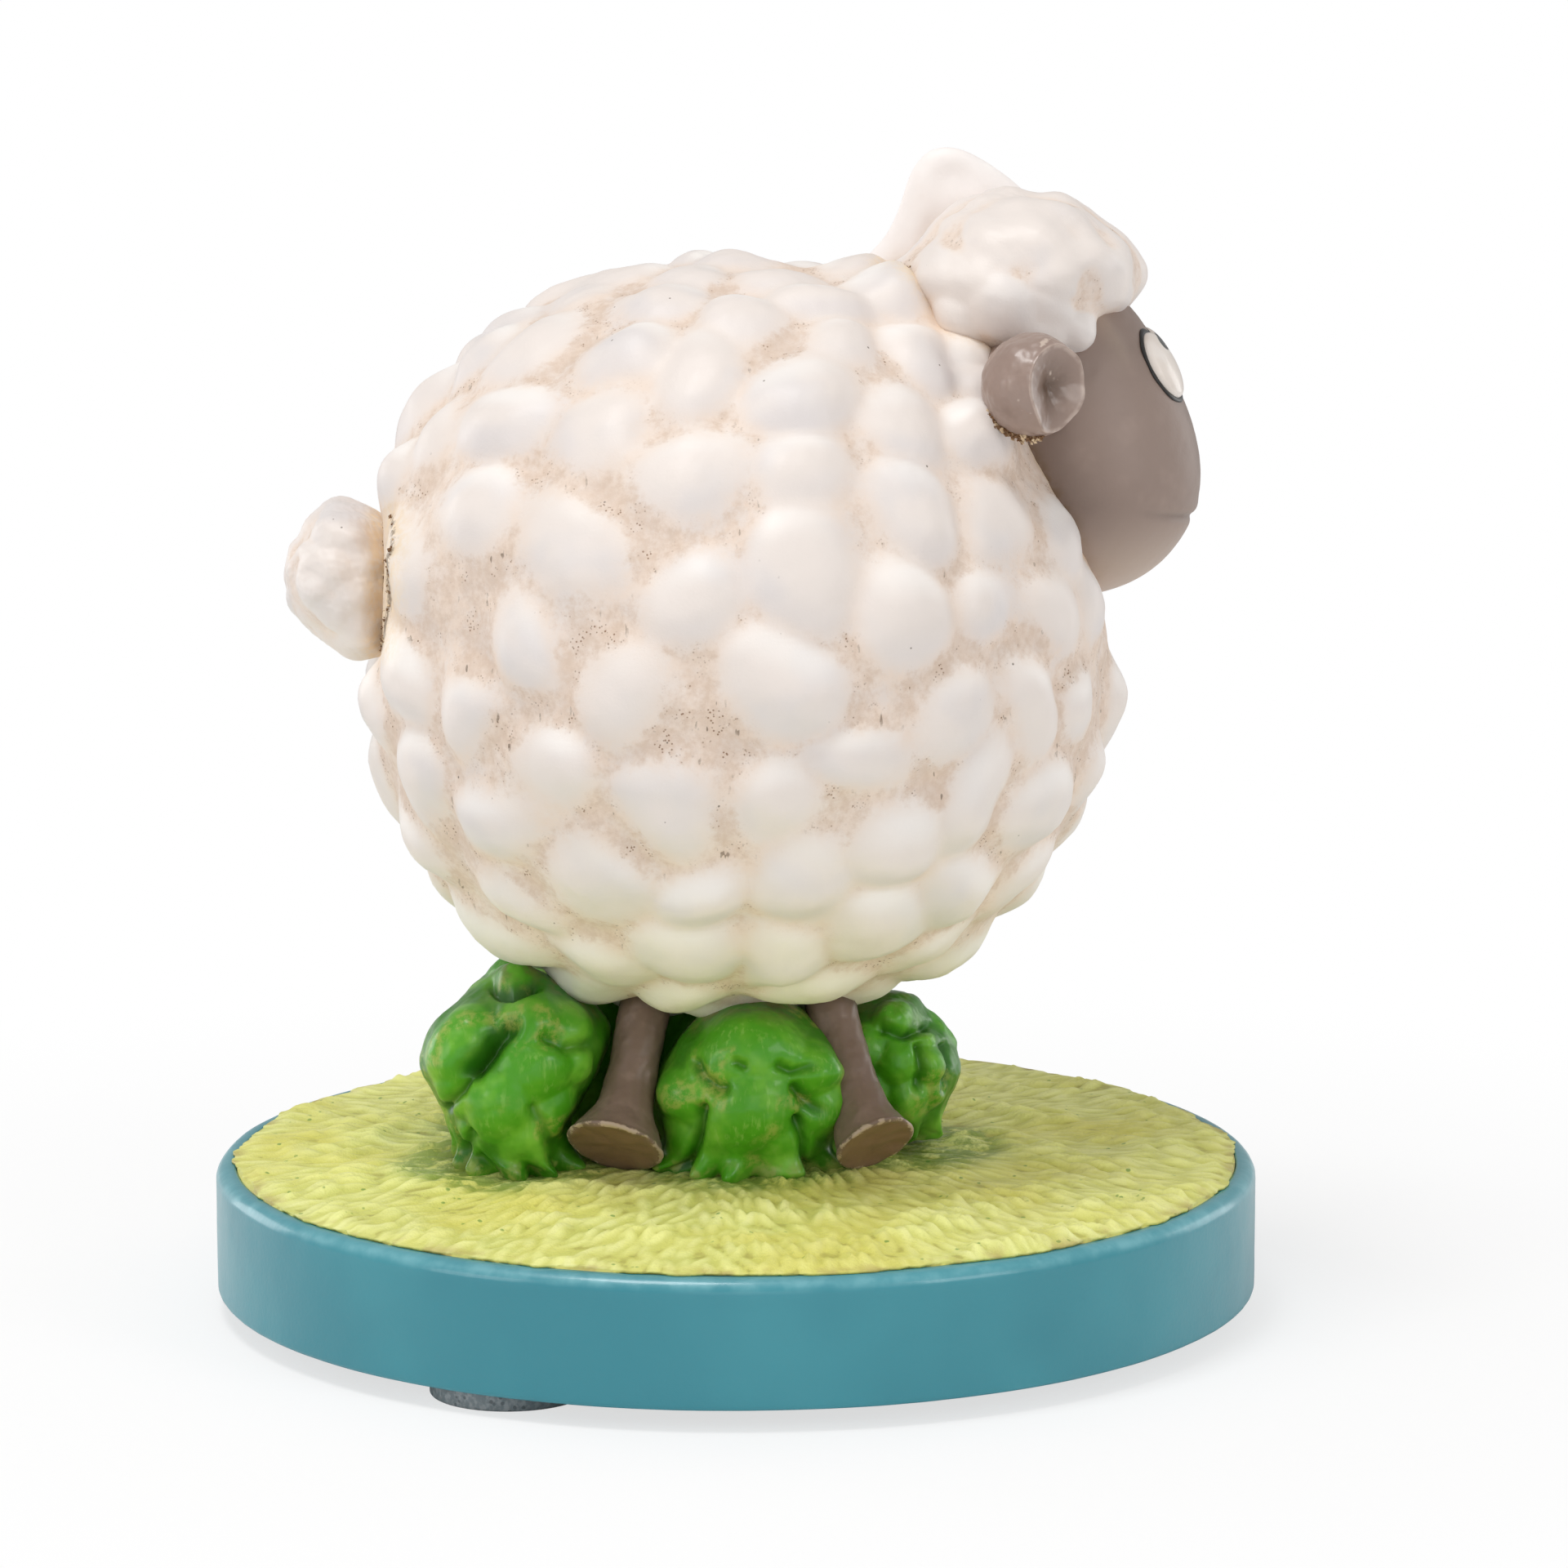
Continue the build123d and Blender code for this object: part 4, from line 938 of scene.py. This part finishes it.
def make_cabbage(name):
    """Outline ellipse with smooth lobes and creases on its own side, random lobes behind, and a skirt of leaf tips
    that spreads where it meets the turf."""
    place, (outline, lobes, creases), depth, side, seed = CABBAGES[name]
    centre = np.array([*place, CABBAGE_LEVEL])
    ways = star_ways(*CABBAGE_GRID)
    reach = outline_reach(ways, outline, depth, 3.0, side)
    across, up, toward = seen(ways * reach[..., None], side)
    left, high, width, height = np.array(lobes).T
    near = depth * np.sqrt(np.maximum(1 - (left**2 + high**2) / 100, 0.04))
    draw = np.random.default_rng(seed + 50)
    behind = unit(draw.normal(size=(60, 3)))
    behind = behind[seen(behind, side)[2] < -0.1][:18]
    places = np.concatenate([view_ways(left, high, near, side), behind])
    widths = np.concatenate([width, draw.uniform(2.4, 3.6, len(behind))])
    heights = np.concatenate([height, draw.uniform(0.9, 1.4, len(behind))])
    lobed = domes(ways, places, widths, heights, 9.3, 2.6, seed, 0.012)
    front = step(-0.5, 2.5, toward)
    crease = 0 * reach
    for sunk, half, path in creases:
        crease = np.maximum(crease, sunk * bell(stroke_gap(across, up, path), half) * front)
    spin = np.arctan2(ways[..., 1], ways[..., 0])
    tips = 0.5 + 0.5 * np.sin(CABBAGE_TIPS * spin + 1.5 * waves(ways * 9, 8.0, seed + 4))
    foot = step(-0.5, -0.95, ways[..., 2])
    brush = 0.05 * waves(ways * 9, 3.6, seed + 2) + 0.012 * waves(ways * 9, 1.1, seed + 3)
    lump = lobed - LOBE_SINK * np.clip(toward / depth, 0.2, 1) - crease + brush + foot * (0.7 * tips - 0.3)
    rings = centre + ways * (reach + lump)[..., None]
    over = rings[..., 2] - turf_height(rings[..., 0], rings[..., 1])
    spread = touch(over, 1.4) * (0.5 + 1.7 * tips)
    rings[..., :2] += (unit(ways * np.array([1, 1, 0])) * spread[..., None])[..., :2]
    ground = turf_height(rings[..., 0], rings[..., 1])
    rings[..., 2] = np.maximum(rings[..., 2], ground - CABBAGE_SUNK)
    top = centre + np.array([0, 0, float((reach + lump)[0].mean())])
    foot_point = (*place, float(turf_height(*place) - CABBAGE_SUNK))
    marks = {
        "groove_shade": np.clip(crease / 1.1 + step(0.55, 0.15, lobed) * 0.6, 0, 1),
        "ridge": step(0.7, 1.4, lobed),
        "ground": touch(rings[..., 2] - ground, 1.3),
        "collar": touch(fleece_form.gap(rings), 1.6),
    }
    return skin(name + "_casting", rings, top, foot_point, marks)


# ---------------------------------------------------------------- crest flap

FLAP_TIP = np.array([19.7, 6.0, 110.3])
FLAP_HALF = 1.75
FLAP_DENT = 0.4
# Outline from the tip, ahead and up, all round. Its foot is inside the topknot.
FLAP_OUTLINE = (
    (0.1, 0.25), (1.9, -0.05), (4.3, -1.35), (6.6, -3.0), (8.5, -4.8), (10.2, -9.0), (8.0, -15.5), (-1.0, -18.0),
    (-9.4, -16.5), (-10.6, -13.6), (-7.9, -11.0), (-5.3, -8.2), (-4.1, -5.6), (-3.4, -3.1), (-2.7, -1.5), (-1.4, -0.1),
)
FLAP_MIDDLE = np.array([0.4, -8.0])


def make_flap():
    """Leaf between its outline and its middle: each ring is the outline drawn in by a share, and the thickness
    follows a rounded edge, with a shallow hollow on the side that faces the camera."""
    corners = np.array(FLAP_OUTLINE)
    loop = np.concatenate([corners, corners[:1]])
    runs = np.concatenate([[0], np.cumsum(np.linalg.norm(np.diff(loop, axis=0), axis=1))])
    spots = np.linspace(0, runs[-1], 260, endpoint=False)
    line = np.stack([loop_blur(np.interp(spots, runs, loop[:, axis]), 5.0) for axis in range(2)], -1)
    shares = np.sin(np.linspace(0, np.pi / 2, 60))[1:]
    flat = FLAP_MIDDLE + (line - FLAP_MIDDLE)[None] * shares[:, None, None]
    thick = FLAP_HALF * np.sqrt(np.maximum(1 - shares**3.2, 0))[:, None]
    panel = step(3.0, 0.6, stroke_gap(flat[..., 0], flat[..., 1], ((0.9, -3.4), (0.4, -6.5), (-0.6, -12.0))))
    sheets = ((flat, FLAP_DENT * panel - thick), (flat[::-1][1:], thick[::-1][1:]))
    rings = [np.stack(np.broadcast_arrays(sheet[..., 0], depth, sheet[..., 1]), -1) for sheet, depth in sheets]
    rings = np.concatenate(rings) + FLAP_TIP
    rings = rings + 0.05 * waves(rings, 5.0, 91)[..., None] * LEFTWARD
    first = FLAP_TIP + np.array([FLAP_MIDDLE[0], FLAP_DENT - FLAP_HALF, FLAP_MIDDLE[1]])
    last = FLAP_TIP + np.array([FLAP_MIDDLE[0], FLAP_HALF, FLAP_MIDDLE[1]])
    return skin("crest_flap_casting", rings, first, last)


# ---------------------------------------------------------------- eyes

EYE_UP = 20.1
EYE_TURN = 17.5
EYE_WIDE = 2.85
EYE_TALL = 3.4
EYE_DOME = 0.9
EYE_DEPTH = 1.4
# Towards the front and up from the eye's middle
PUPIL_PLACE = (1.15, 1.85)
PUPIL_RADII = (1.1, 0.85)
# How far outside the eye its black line runs
LINE_OUT = 0.16


def eye_frame(side):
    """Middle of the eye on the face, the way it looks, and its sideways and upward directions."""
    middle = on_face(np.array(-side * EYE_TURN), np.array(EYE_UP))
    nearby = on_face(np.array(-side * EYE_TURN), np.array(EYE_UP), 1.0)
    slope = (EYE_UP - HEAD_RADIUS) / CHEEK_RADIUS
    way = unit(unit(nearby - middle) * math.sqrt(1 - slope**2) + HEAD_UP * slope)
    sideways = unit(np.cross(HEAD_UP, way))
    return middle, way, sideways, np.cross(way, sideways)


def make_eye(name, side):
    """Shallow dome turned about the way it looks: a pale lid, with its pupil up and towards the front."""
    middle, way, sideways, upward = eye_frame(side)
    turn = around(120)[None, :, None]
    spokes = np.cos(turn) * sideways * EYE_WIDE + np.sin(turn) * upward * EYE_TALL
    cap = np.linspace(1.0, 0.03, 44)
    out = np.concatenate([[0.5, 1.0], cap])[:, None, None]
    dome = EYE_DOME * np.sqrt(np.maximum(1 - cap**2.4, 0))
    rise = np.concatenate([[-EYE_DEPTH, -EYE_DEPTH], dome])[:, None, None]
    rings = middle + out * spokes + rise * way
    first, last = middle - EYE_DEPTH * way, middle + EYE_DOME * way
    front = (-side * (out * np.cos(turn) * EYE_WIDE)[..., 0] - PUPIL_PLACE[0]) / PUPIL_RADII[0]
    high = ((out * np.sin(turn) * EYE_TALL)[..., 0] - PUPIL_PLACE[1]) / PUPIL_RADII[1]
    marks = {"pupil": step(1.1, 0.9, np.hypot(front, high))}
    return skin(name + "_dome", rings, first, last, marks)


def make_eye_line(name, side):
    """Thin uneven bead of black paint round the eye, carried round its rim and laid on the face."""
    middle, way, sideways, upward = eye_frame(side)
    turn = around(140)
    wobble = waves(about_z(1, turn, 0) * 3.5, 3.0, 95 + side)
    wide = 0.28 + 0.06 * wobble + 0.1 * np.clip(np.sin(turn + 0.6), 0, 1)
    across, up = (EYE_WIDE + LINE_OUT) * np.cos(turn), (EYE_TALL + LINE_OUT) * np.sin(turn)
    line = middle + across[:, None] * sideways + up[:, None] * upward
    line = line - (egg_gap(line) - 0.05)[:, None] * way
    spin = around(10)[:, None, None]
    rings = line[None] + np.cos(spin) * unit(line - middle)[None] * wide[None, :, None] + np.sin(spin) * way * 0.13
    return ring_tube(name, rings.transpose(1, 0, 2))


def ring_tube(name, rings):
    """Closed tube: rings[step, corner] joined in both directions."""
    steps, corners = rings.shape[:2]
    index = np.arange(steps * corners).reshape(steps, corners)
    faces = np.stack([index, np.roll(index, -1, 1), np.roll(np.roll(index, -1, 0), -1, 1), np.roll(index, -1, 0)], -1)
    faces = faces.reshape(-1, 4)
    points = rings.reshape(-1, 3)
    a, b, c = (points[faces[:, corner]] for corner in range(3))
    if (np.cross(b - a, c - a) * (a - rings.mean(1)[faces[:, 0] // corners])).sum() < 0:
        faces = faces[:, ::-1]
    piece = solid(name, points, faces.tolist())
    piece.data.shade_smooth()
    return piece


# ---------------------------------------------------------------- crumbs of glue


def crumbs(name, path, sizes, seed):
    """Glue crumbs along a line: each is a lumpy eight-sided bead, all in one mesh."""
    draw = np.random.default_rng(seed)
    corners = np.array([(1, 0, 0), (-1, 0, 0), (0, 1, 0), (0, -1, 0), (0, 0, 1), (0, 0, -1)], float)
    faces = np.array([(0, 2, 4), (2, 1, 4), (1, 3, 4), (3, 0, 4), (2, 0, 5), (1, 2, 5), (3, 1, 5), (0, 3, 5)])
    count = len(path)
    size = draw.uniform(sizes[0], sizes[1], count)
    shape = corners[None] * draw.uniform(0.6, 1.4, (count, 6, 1)) * size[:, None, None]
    turns, _ = np.linalg.qr(draw.normal(size=(count, 3, 3)))
    turns = turns * np.sign(np.linalg.det(turns))[:, None, None]
    points = np.einsum("nij,nkj->nki", turns, shape) + path[:, None]
    listed = (faces[None] + 6 * np.arange(count)[:, None, None]).reshape(-1, 3)
    return solid(name, points.reshape(-1, 3), listed.tolist())


# ---------------------------------------------------------------- finishes

wool = wool_finish("wool_paint")

face = enamel_finish("face_paint", (148, 129, 119), (161, 141, 130), (130, 112, 104), 0.42, 7.0,
                     Specular_IOR_Level=0.45)
face.wear(face.layers(
    face.colour,
    ((112, 92, 80), face.mark("shade") * 0.55),
    ((84, 72, 66), face.mark("mouth") * 0.45),
    ((120, 98, 78), face.mark("collar") * face.cloud(1.2, 3).rise(0.4, 0.62)),
    # Painted highlight on the brow planes
    ((182, 164, 148), face.mark("brow") * 0.35),
    # Painted highlight: the face lighter towards the chin
    ((206, 186, 172), (1 - face.height().rise(68, 79)) * 0.8),
))

ear = enamel_finish("ear_paint", (152, 130, 119), (170, 148, 136), (134, 113, 102), 0.3, 4.0,
                    Specular_IOR_Level=0.5, Coat_Weight=0.25, Coat_Roughness=0.2)
ear.wear(ear.layers(
    ear.colour,
    # Painted shade in the ear's hollow
    ((94, 72, 56), ear.mark("hollow")),
    ((222, 203, 190), ear.mark("lip").rise(0.5, 1.0) * ear.cloud(1.4, 2).rise(0.3, 0.6) * 0.4),
    ((226, 208, 192), ear.cloud(2.3, 3, 0.6).rise(0.66, 0.74) * 0.6),
    ((84, 62, 44), ear.mark("collar") * 0.85),
))

flap = enamel_finish("flap_paint", (246, 239, 235), (250, 245, 241), (238, 228, 222), 0.52, 8.0,
                     Specular_IOR_Level=0.4)

eye = Finish("eye_paint", Roughness=0.28, Specular_IOR_Level=0.5, Coat_Weight=0.2)
eye_colour = eye.layers(
    paint(232, 221, 211),
    ((240, 231, 223), eye.cloud(2.5, 2).rise(0.4, 0.7)),
    ((28, 26, 26), eye.mark("pupil")),
)
eye.wear(eye_colour, 0.26 + 0.1 * eye.cloud(2), eye.cloud(0.8, 2), 0.02)
eye_line = enamel_finish("eye_line_paint", (30, 27, 26), (44, 40, 38), (18, 17, 17), 0.3, 1.5)

leg = enamel_finish("leg_paint", (122, 101, 90), (138, 116, 106), (104, 84, 72), 0.36, 3.0, Specular_IOR_Level=0.45)
chips = (leg.mark("edge") * 0.3 + leg.cloud(0.9, 3, 0.65)).rise(0.72, 0.82)
leg.wear(leg.layers(
    leg.colour,
    ((130, 102, 82), leg.mark("sole") * 0.95),
    ((120, 96, 76), leg.mark("sole") * leg.cloud(2.2, 3).rise(0.5, 0.72)),
    ((206, 184, 162), chips * 0.6),
    # Painted shade where the leg meets the wool and the turf
    ((74, 62, 48), leg.mark("collar").most(leg.mark("ground")) * 0.6),
))

leaf = Finish("leaf_paint", Specular_IOR_Level=0.35, Coat_Weight=0.25, Coat_Roughness=0.2)
streaks = leaf.cloud(0.6, 3, 0.6, (1.0, 1.0, 5.0)).rise(0.52, 0.68) * leaf.cloud(3.5, 2).rise(0.38, 0.56)
dry = leaf.cloud(0.9, 4, 0.7).rise(0.4, 0.62) * leaf.cloud(6.0, 3).rise(0.56, 0.63)
leaf_colour = leaf.layers(
    paint(74, 157, 20),
    ((122, 188, 56), leaf.cloud(5.0, 3, 0.6).rise(0.42, 0.72)),
    ((166, 206, 108), leaf.mark("ridge").most(0.4) * streaks * 0.35),
    # Painted shade in the creases and between the lobes
    ((26, 88, 8), leaf.mark("groove_shade") * 0.85),
    ((178, 182, 92), dry * 0.5),
    ((150, 170, 84), leaf.mark("ground") * leaf.cloud(1.6, 3).rise(0.46, 0.62)),
    ((120, 118, 62), leaf.mark("collar") * leaf.cloud(1.4, 3).rise(0.4, 0.6) * 0.8),
)
leaf.wear(leaf_colour, 0.3 + 0.16 * leaf.cloud(3), leaf.cloud(0.7, 3) * 0.6 + leaf.cloud(3) * 0.6, 0.05)

grass = Finish("turf_paint", Specular_IOR_Level=0.35)
dab = grass.mark("dab")
dents = (1 - dab.rise(0.08, 0.3)) * grass.cloud(2.2, 2).rise(0.5, 0.62)
smears = grass.mark("leafy") * grass.cloud(1.8, 4, 0.65).rise(0.36, 0.56)
flecks = grass.specks(1.3, 0.22) * grass.cloud(3.0, 2).rise(0.56, 0.62)
grass_colour = grass.layers(
    paint(212, 214, 118),
    # Painted highlight on the raised dabs
    ((240, 242, 156), dab.rise(0.1, 0.85)),
    ((241, 242, 172), grass.mark("shade").rise(0.55, 1.0) * dab * 0.7),
    ((222, 214, 104), grass.cloud(16, 3).rise(0.42, 0.7) * 0.6),
    ((168, 160, 80), dents * 0.6),
    ((96, 132, 42), smears * 0.7),
    ((88, 140, 54), flecks * 0.7),
    ((178, 158, 96), grass.mark("edge") * grass.cloud(3.5, 3).rise(0.48, 0.62) * 0.6),
)
grass.wear(grass_colour, 0.36 + 0.2 * grass.cloud(2), grass.cloud(0.35, 3) + grass.mark("fine") * 0.4, 0.1)

teal = Finish("plinth_paint", Specular_IOR_Level=0.5, Coat_Weight=0.3, Coat_Roughness=0.12)
scratches = teal.cloud(0.5, 2, 0.5, (14, 14, 1)).rise(0.74, 0.78) * teal.cloud(8, 2).rise(0.6, 0.68)
teal_colour = teal.layers(
    paint(42, 132, 146),
    ((51, 141, 154), teal.cloud(22, 2).rise(0.4, 0.65)),
    ((40, 127, 141), teal.cloud(5, 4, 0.7).rise(0.6, 0.8) * 0.5),
    # Painted highlight along the rounded top edge
    ((132, 192, 200), teal.mark("brow") * (0.25 + 0.4 * teal.cloud(2.5, 3).rise(0.35, 0.7))),
    ((140, 196, 202), scratches * 0.4),
)
teal.wear(teal_colour, 0.28 + 0.14 * teal.cloud(6, 3), teal.cloud(0.5, 2) * 0.4 + teal.cloud(5, 2), 0.05)

foam = Finish("pad_foam", Roughness=0.8)
foam_colour = foam.layers(
    paint(128, 136, 139),
    ((160, 164, 167), foam.cloud(0.5, 3).rise(0.4, 0.65)),
    ((84, 90, 94), foam.specks(0.8, 0.28) * 0.7),
)
foam.wear(foam_colour, 0.7 + 0.2 * foam.cloud(1), foam.cloud(0.4, 3), 0.12)

steel = Finish("wire_steel", Metallic=1.0)
steel_colour = steel.layers(paint(170, 170, 168), ((140, 138, 134), steel.cloud(1.5, 3).rise(0.45, 0.7)))
steel.wear(steel_colour, 0.3 + 0.2 * steel.cloud(0.6, 3), steel.cloud(0.3, 2), 0.02)

glue = Finish("glue_crust", Roughness=0.7)
glue_colour = glue.layers(paint(122, 88, 56), ((210, 186, 152), glue.cloud(0.8, 2).rise(0.5, 0.6)))
glue.wear(glue_colour, 0.6 + 0.2 * glue.cloud(1), glue.cloud(0.3, 2), 0.05)

# ---------------------------------------------------------------- the pieces

rings, ends, ways = fleece_form.grid(*FLEECE_GRID)
valley = step(1.5, 0.4, curl_rise(ways))
tail_gap, topknot_gap = tail_form.gap(rings), topknot_form.gap(rings)
ear_gap = np.minimum(*[np.linalg.norm(rings - ear_spot(EAR_TIP, side), axis=-1) - EAR_RADIUS for side, word in SIDES])
# Glue fills the sharp corner at the topknot and the ears, and the wool dips round the tail (millimetres)
filled = np.maximum(2.1 * touch(topknot_gap, 3.4), 1.9 * touch(ear_gap, 2.6)) - 1.5 * touch(tail_gap, 2.4)
rings = rings + filled[..., None] * ways
tail_gap = tail_form.gap(rings)
across, up, toward = seen(rings - TAIL_CENTRE)
tail_line = stroke_gap(across, up, TAIL_LINE) + 9 * (toward < 0)
seams = [bell(tail_line, 1.5), touch(tail_gap, 1.6), touch(topknot_gap, 1.6), 0.6 * touch(egg_gap(rings), 0.5)]
crust = np.maximum.reduce([touch(tail_gap, 0.5), 0.45 * touch(topknot_gap, 0.3), 0.8 * bell(tail_line, 0.35)])
# The slope mark carries painted light: a highlight on the curls' upper slopes and shade on their lower slopes
marks = {"valley": valley, "slope": up_slope(curl_rise(ways)), "seam": np.maximum.reduce(seams), "crust": crust}
fleece = skin("fleece_casting", rings, ends[0], ends[1], marks)
fit(fleece, "wool_cream", wool, "fleece_body")


def glue_line(name, spots, count, sizes, seed):
    """Crumbs at some of the spots along a seam."""
    draw = np.random.default_rng(seed)
    picked = spots[draw.integers(0, len(spots), count)] + draw.normal(0, 0.12, (count, 3))
    fit(crumbs(name, picked, sizes, seed), "wool_cream", glue)


glue_line("tail_line_glue", rings[tail_line < 0.28], 110, (0.08, 0.24), 206)
glue_line("topknot_glue", rings[(np.abs(topknot_gap) < 0.3) & (rings[..., 2] > 84)], 150, (0.06, 0.16), 202)
# The dirty glue line under each ear follows the ear's lower edge
EAR_GLUE_ARC = (-150, -80)
sweep = np.radians(np.random.default_rng(203).uniform(*EAR_GLUE_ARC, 520))
slip = np.random.default_rng(204).normal(0, 0.15, (len(sweep), 3))
for side, word in SIDES:
    edge = np.outer(np.cos(sweep), RIGHT) + np.outer(np.sin(sweep), RISE * flip(side)) + 0.08 * TOWARD * flip(side)
    under = ear_spot(EAR_TIP, side) + (EAR_RADIUS + 0.12) * edge + slip
    fit(crumbs(f"ear_glue_{word}", under, (0.1, 0.26), 205), "wool_cream", glue)

for name, form, node in (("topknot_casting", topknot_form, "topknot"), ("tail_casting", tail_form, "tail")):
    rings, ends, ways = form.grid(*CLUMP_GRID)
    reach = np.linalg.norm(rings - form.centre, axis=-1)
    bumps = reach - sum(np.roll(reach, columns, 1) for columns in (9, -9, 18, -18)) / 4
    gap = fleece_form.gap(rings)
    marks = {
        "valley": 0.8 * step(0.05, -0.35, bumps),
        # Painted light on the lobes: a highlight on their upper slopes and shade on their lower slopes
        "slope": 0.35 * up_slope(bumps),
        "seam": touch(gap, 1.0),
        "crust": bell(gap + 1.4, 0.4) if node == "tail" else 0.3 * bell(gap - 0.8, 0.3),
    }
    fit(skin(name, rings, ends[0], ends[1], marks), "wool_cream", wool, node)
    if node == "tail":
        glue_line("tail_glue", rings[np.abs(gap + 1.2) < 0.3], 460, (0.1, 0.3), 201)

fit(make_head(), "face_taupe", face, "head")
for side, word in SIDES:
    fit(make_ear(f"ear_{word}_casting", side), "face_taupe", ear, f"ear_{word}")
    fit(make_eye(f"eye_{word}", side), "eye_cream", eye, f"eye_{word}")
    fit(make_eye_line(f"eye_line_{word}", side), "eye_cream", eye_line)
    for which in LEGS:
        fit(make_leg(f"leg_{which}_{word}_casting", which, side), "leg_brown", leg, f"leg_{which}_{word}")
fit(make_flap(), "wool_cream", flap, "crest_flap")
for name in CABBAGES:
    fit(make_cabbage(name), "leaf_green", leaf, name)
fit(make_turf(), "turf_green", grass, "turf")
fit(make_plinth(), "plinth_teal", teal, "plinth")

for name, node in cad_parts.items():
    for prefix, finish in (("pad_", foam), ("wire_", steel)):
        if name.startswith(prefix):
            for slot_index in range(len(node.material_slots)):
                node.material_slots[slot_index].material = finish.material

# ---------------------------------------------------------------- studio

FLOOR_RADIUS = 3000.0
FLOOR_CORNERS = 96
FILL_STRENGTH = 0.46
WHITE = (1.0, 1.0, 1.0, 1.0)

floor = solid("studio_floor", about_z(FLOOR_RADIUS, around(FLOOR_CORNERS), 0), [list(range(FLOOR_CORNERS))])
floor_paint = Finish("studio_floor_paint", Roughness=0.9, Specular_IOR_Level=0.1)
floor_paint.wear(floor_paint.blend(paint(252, 252, 252), paint(250, 250, 250), floor_paint.cloud(200)))
# The camera sees the floor fade to white away from the figurine, which keeps its shadow
away = floor_paint.node("ShaderNodeVectorMath", {"operation": "LENGTH"}, {0: floor_paint.place}).outputs["Value"]
seen_by_camera = Signal(floor_paint, floor_paint.node("ShaderNodeLightPath", {}, {}).outputs["Is Camera Ray"])
fade = seen_by_camera * (0.68 + 0.32 * Signal(floor_paint, away).rise(0.05, 0.16))
glow = floor_paint.node("ShaderNodeEmission", {}, {"Color": WHITE, "Strength": 1.0})
mixed = floor_paint.node("ShaderNodeMixShader", {}, {0: fade, 1: floor_paint.shader.outputs[0], 2: glow.outputs[0]})
floor_paint.tree.links.new(mixed.outputs[0], floor_paint.output.inputs["Surface"])
floor.data.materials.append(floor_paint.material)

world = bpy.data.worlds.new("studio")
world.use_nodes = True
world.node_tree.nodes.clear()
nodes, links = world.node_tree.nodes, world.node_tree.links
path = nodes.new("ShaderNodeLightPath")
shown = nodes.new("ShaderNodeMath")
shown.operation = "MAXIMUM"
links.new(path.outputs["Is Camera Ray"], shown.inputs[0])
links.new(path.outputs["Is Transmission Ray"], shown.inputs[1])
fill, white = nodes.new("ShaderNodeBackground"), nodes.new("ShaderNodeBackground")
either = nodes.new("ShaderNodeMixShader")
for background, strength in ((fill, FILL_STRENGTH), (white, 1.0)):
    background.inputs["Color"].default_value = WHITE
    background.inputs["Strength"].default_value = strength
links.new(shown.outputs[0], either.inputs[0])
links.new(fill.outputs[0], either.inputs[1])
links.new(white.outputs[0], either.inputs[2])
links.new(either.outputs[0], nodes.new("ShaderNodeOutputWorld").inputs[0])
bpy.context.scene.world = world


def softbox(name, place, aim, size, power):
    """Square area lamp that looks at a point."""
    lamp = bpy.data.lights.new(name, "AREA")
    lamp.shape, lamp.size, lamp.energy = "SQUARE", size * MM, power
    box = placed(name, lamp)
    box.location = np.array(place) * MM
    look = unit(np.array(aim, float) - np.array(place, float))
    box.rotation_euler = (math.acos(-look[2]), 0.0, math.atan2(look[1], look[0]) - math.pi / 2)


softbox("softbox_above", (-130, -150, 640), (0, 0, 50), 220, 1.75)
softbox("softbox_left", (-620, -420, 260), (0, 0, 55), 300, 0.75)
softbox("softbox_right", (560, -460, 320), (0, 0, 60), 260, 0.9)
softbox("softbox_low", (40, -620, 70), (0, 0, 45), 300, 0.27)
softbox("softbox_back_left", (-560, 400, 150), (0, 0, 50), 300, 0.75)
softbox("softbox_back_right", (600, 420, 150), (0, 0, 50), 300, 0.6)
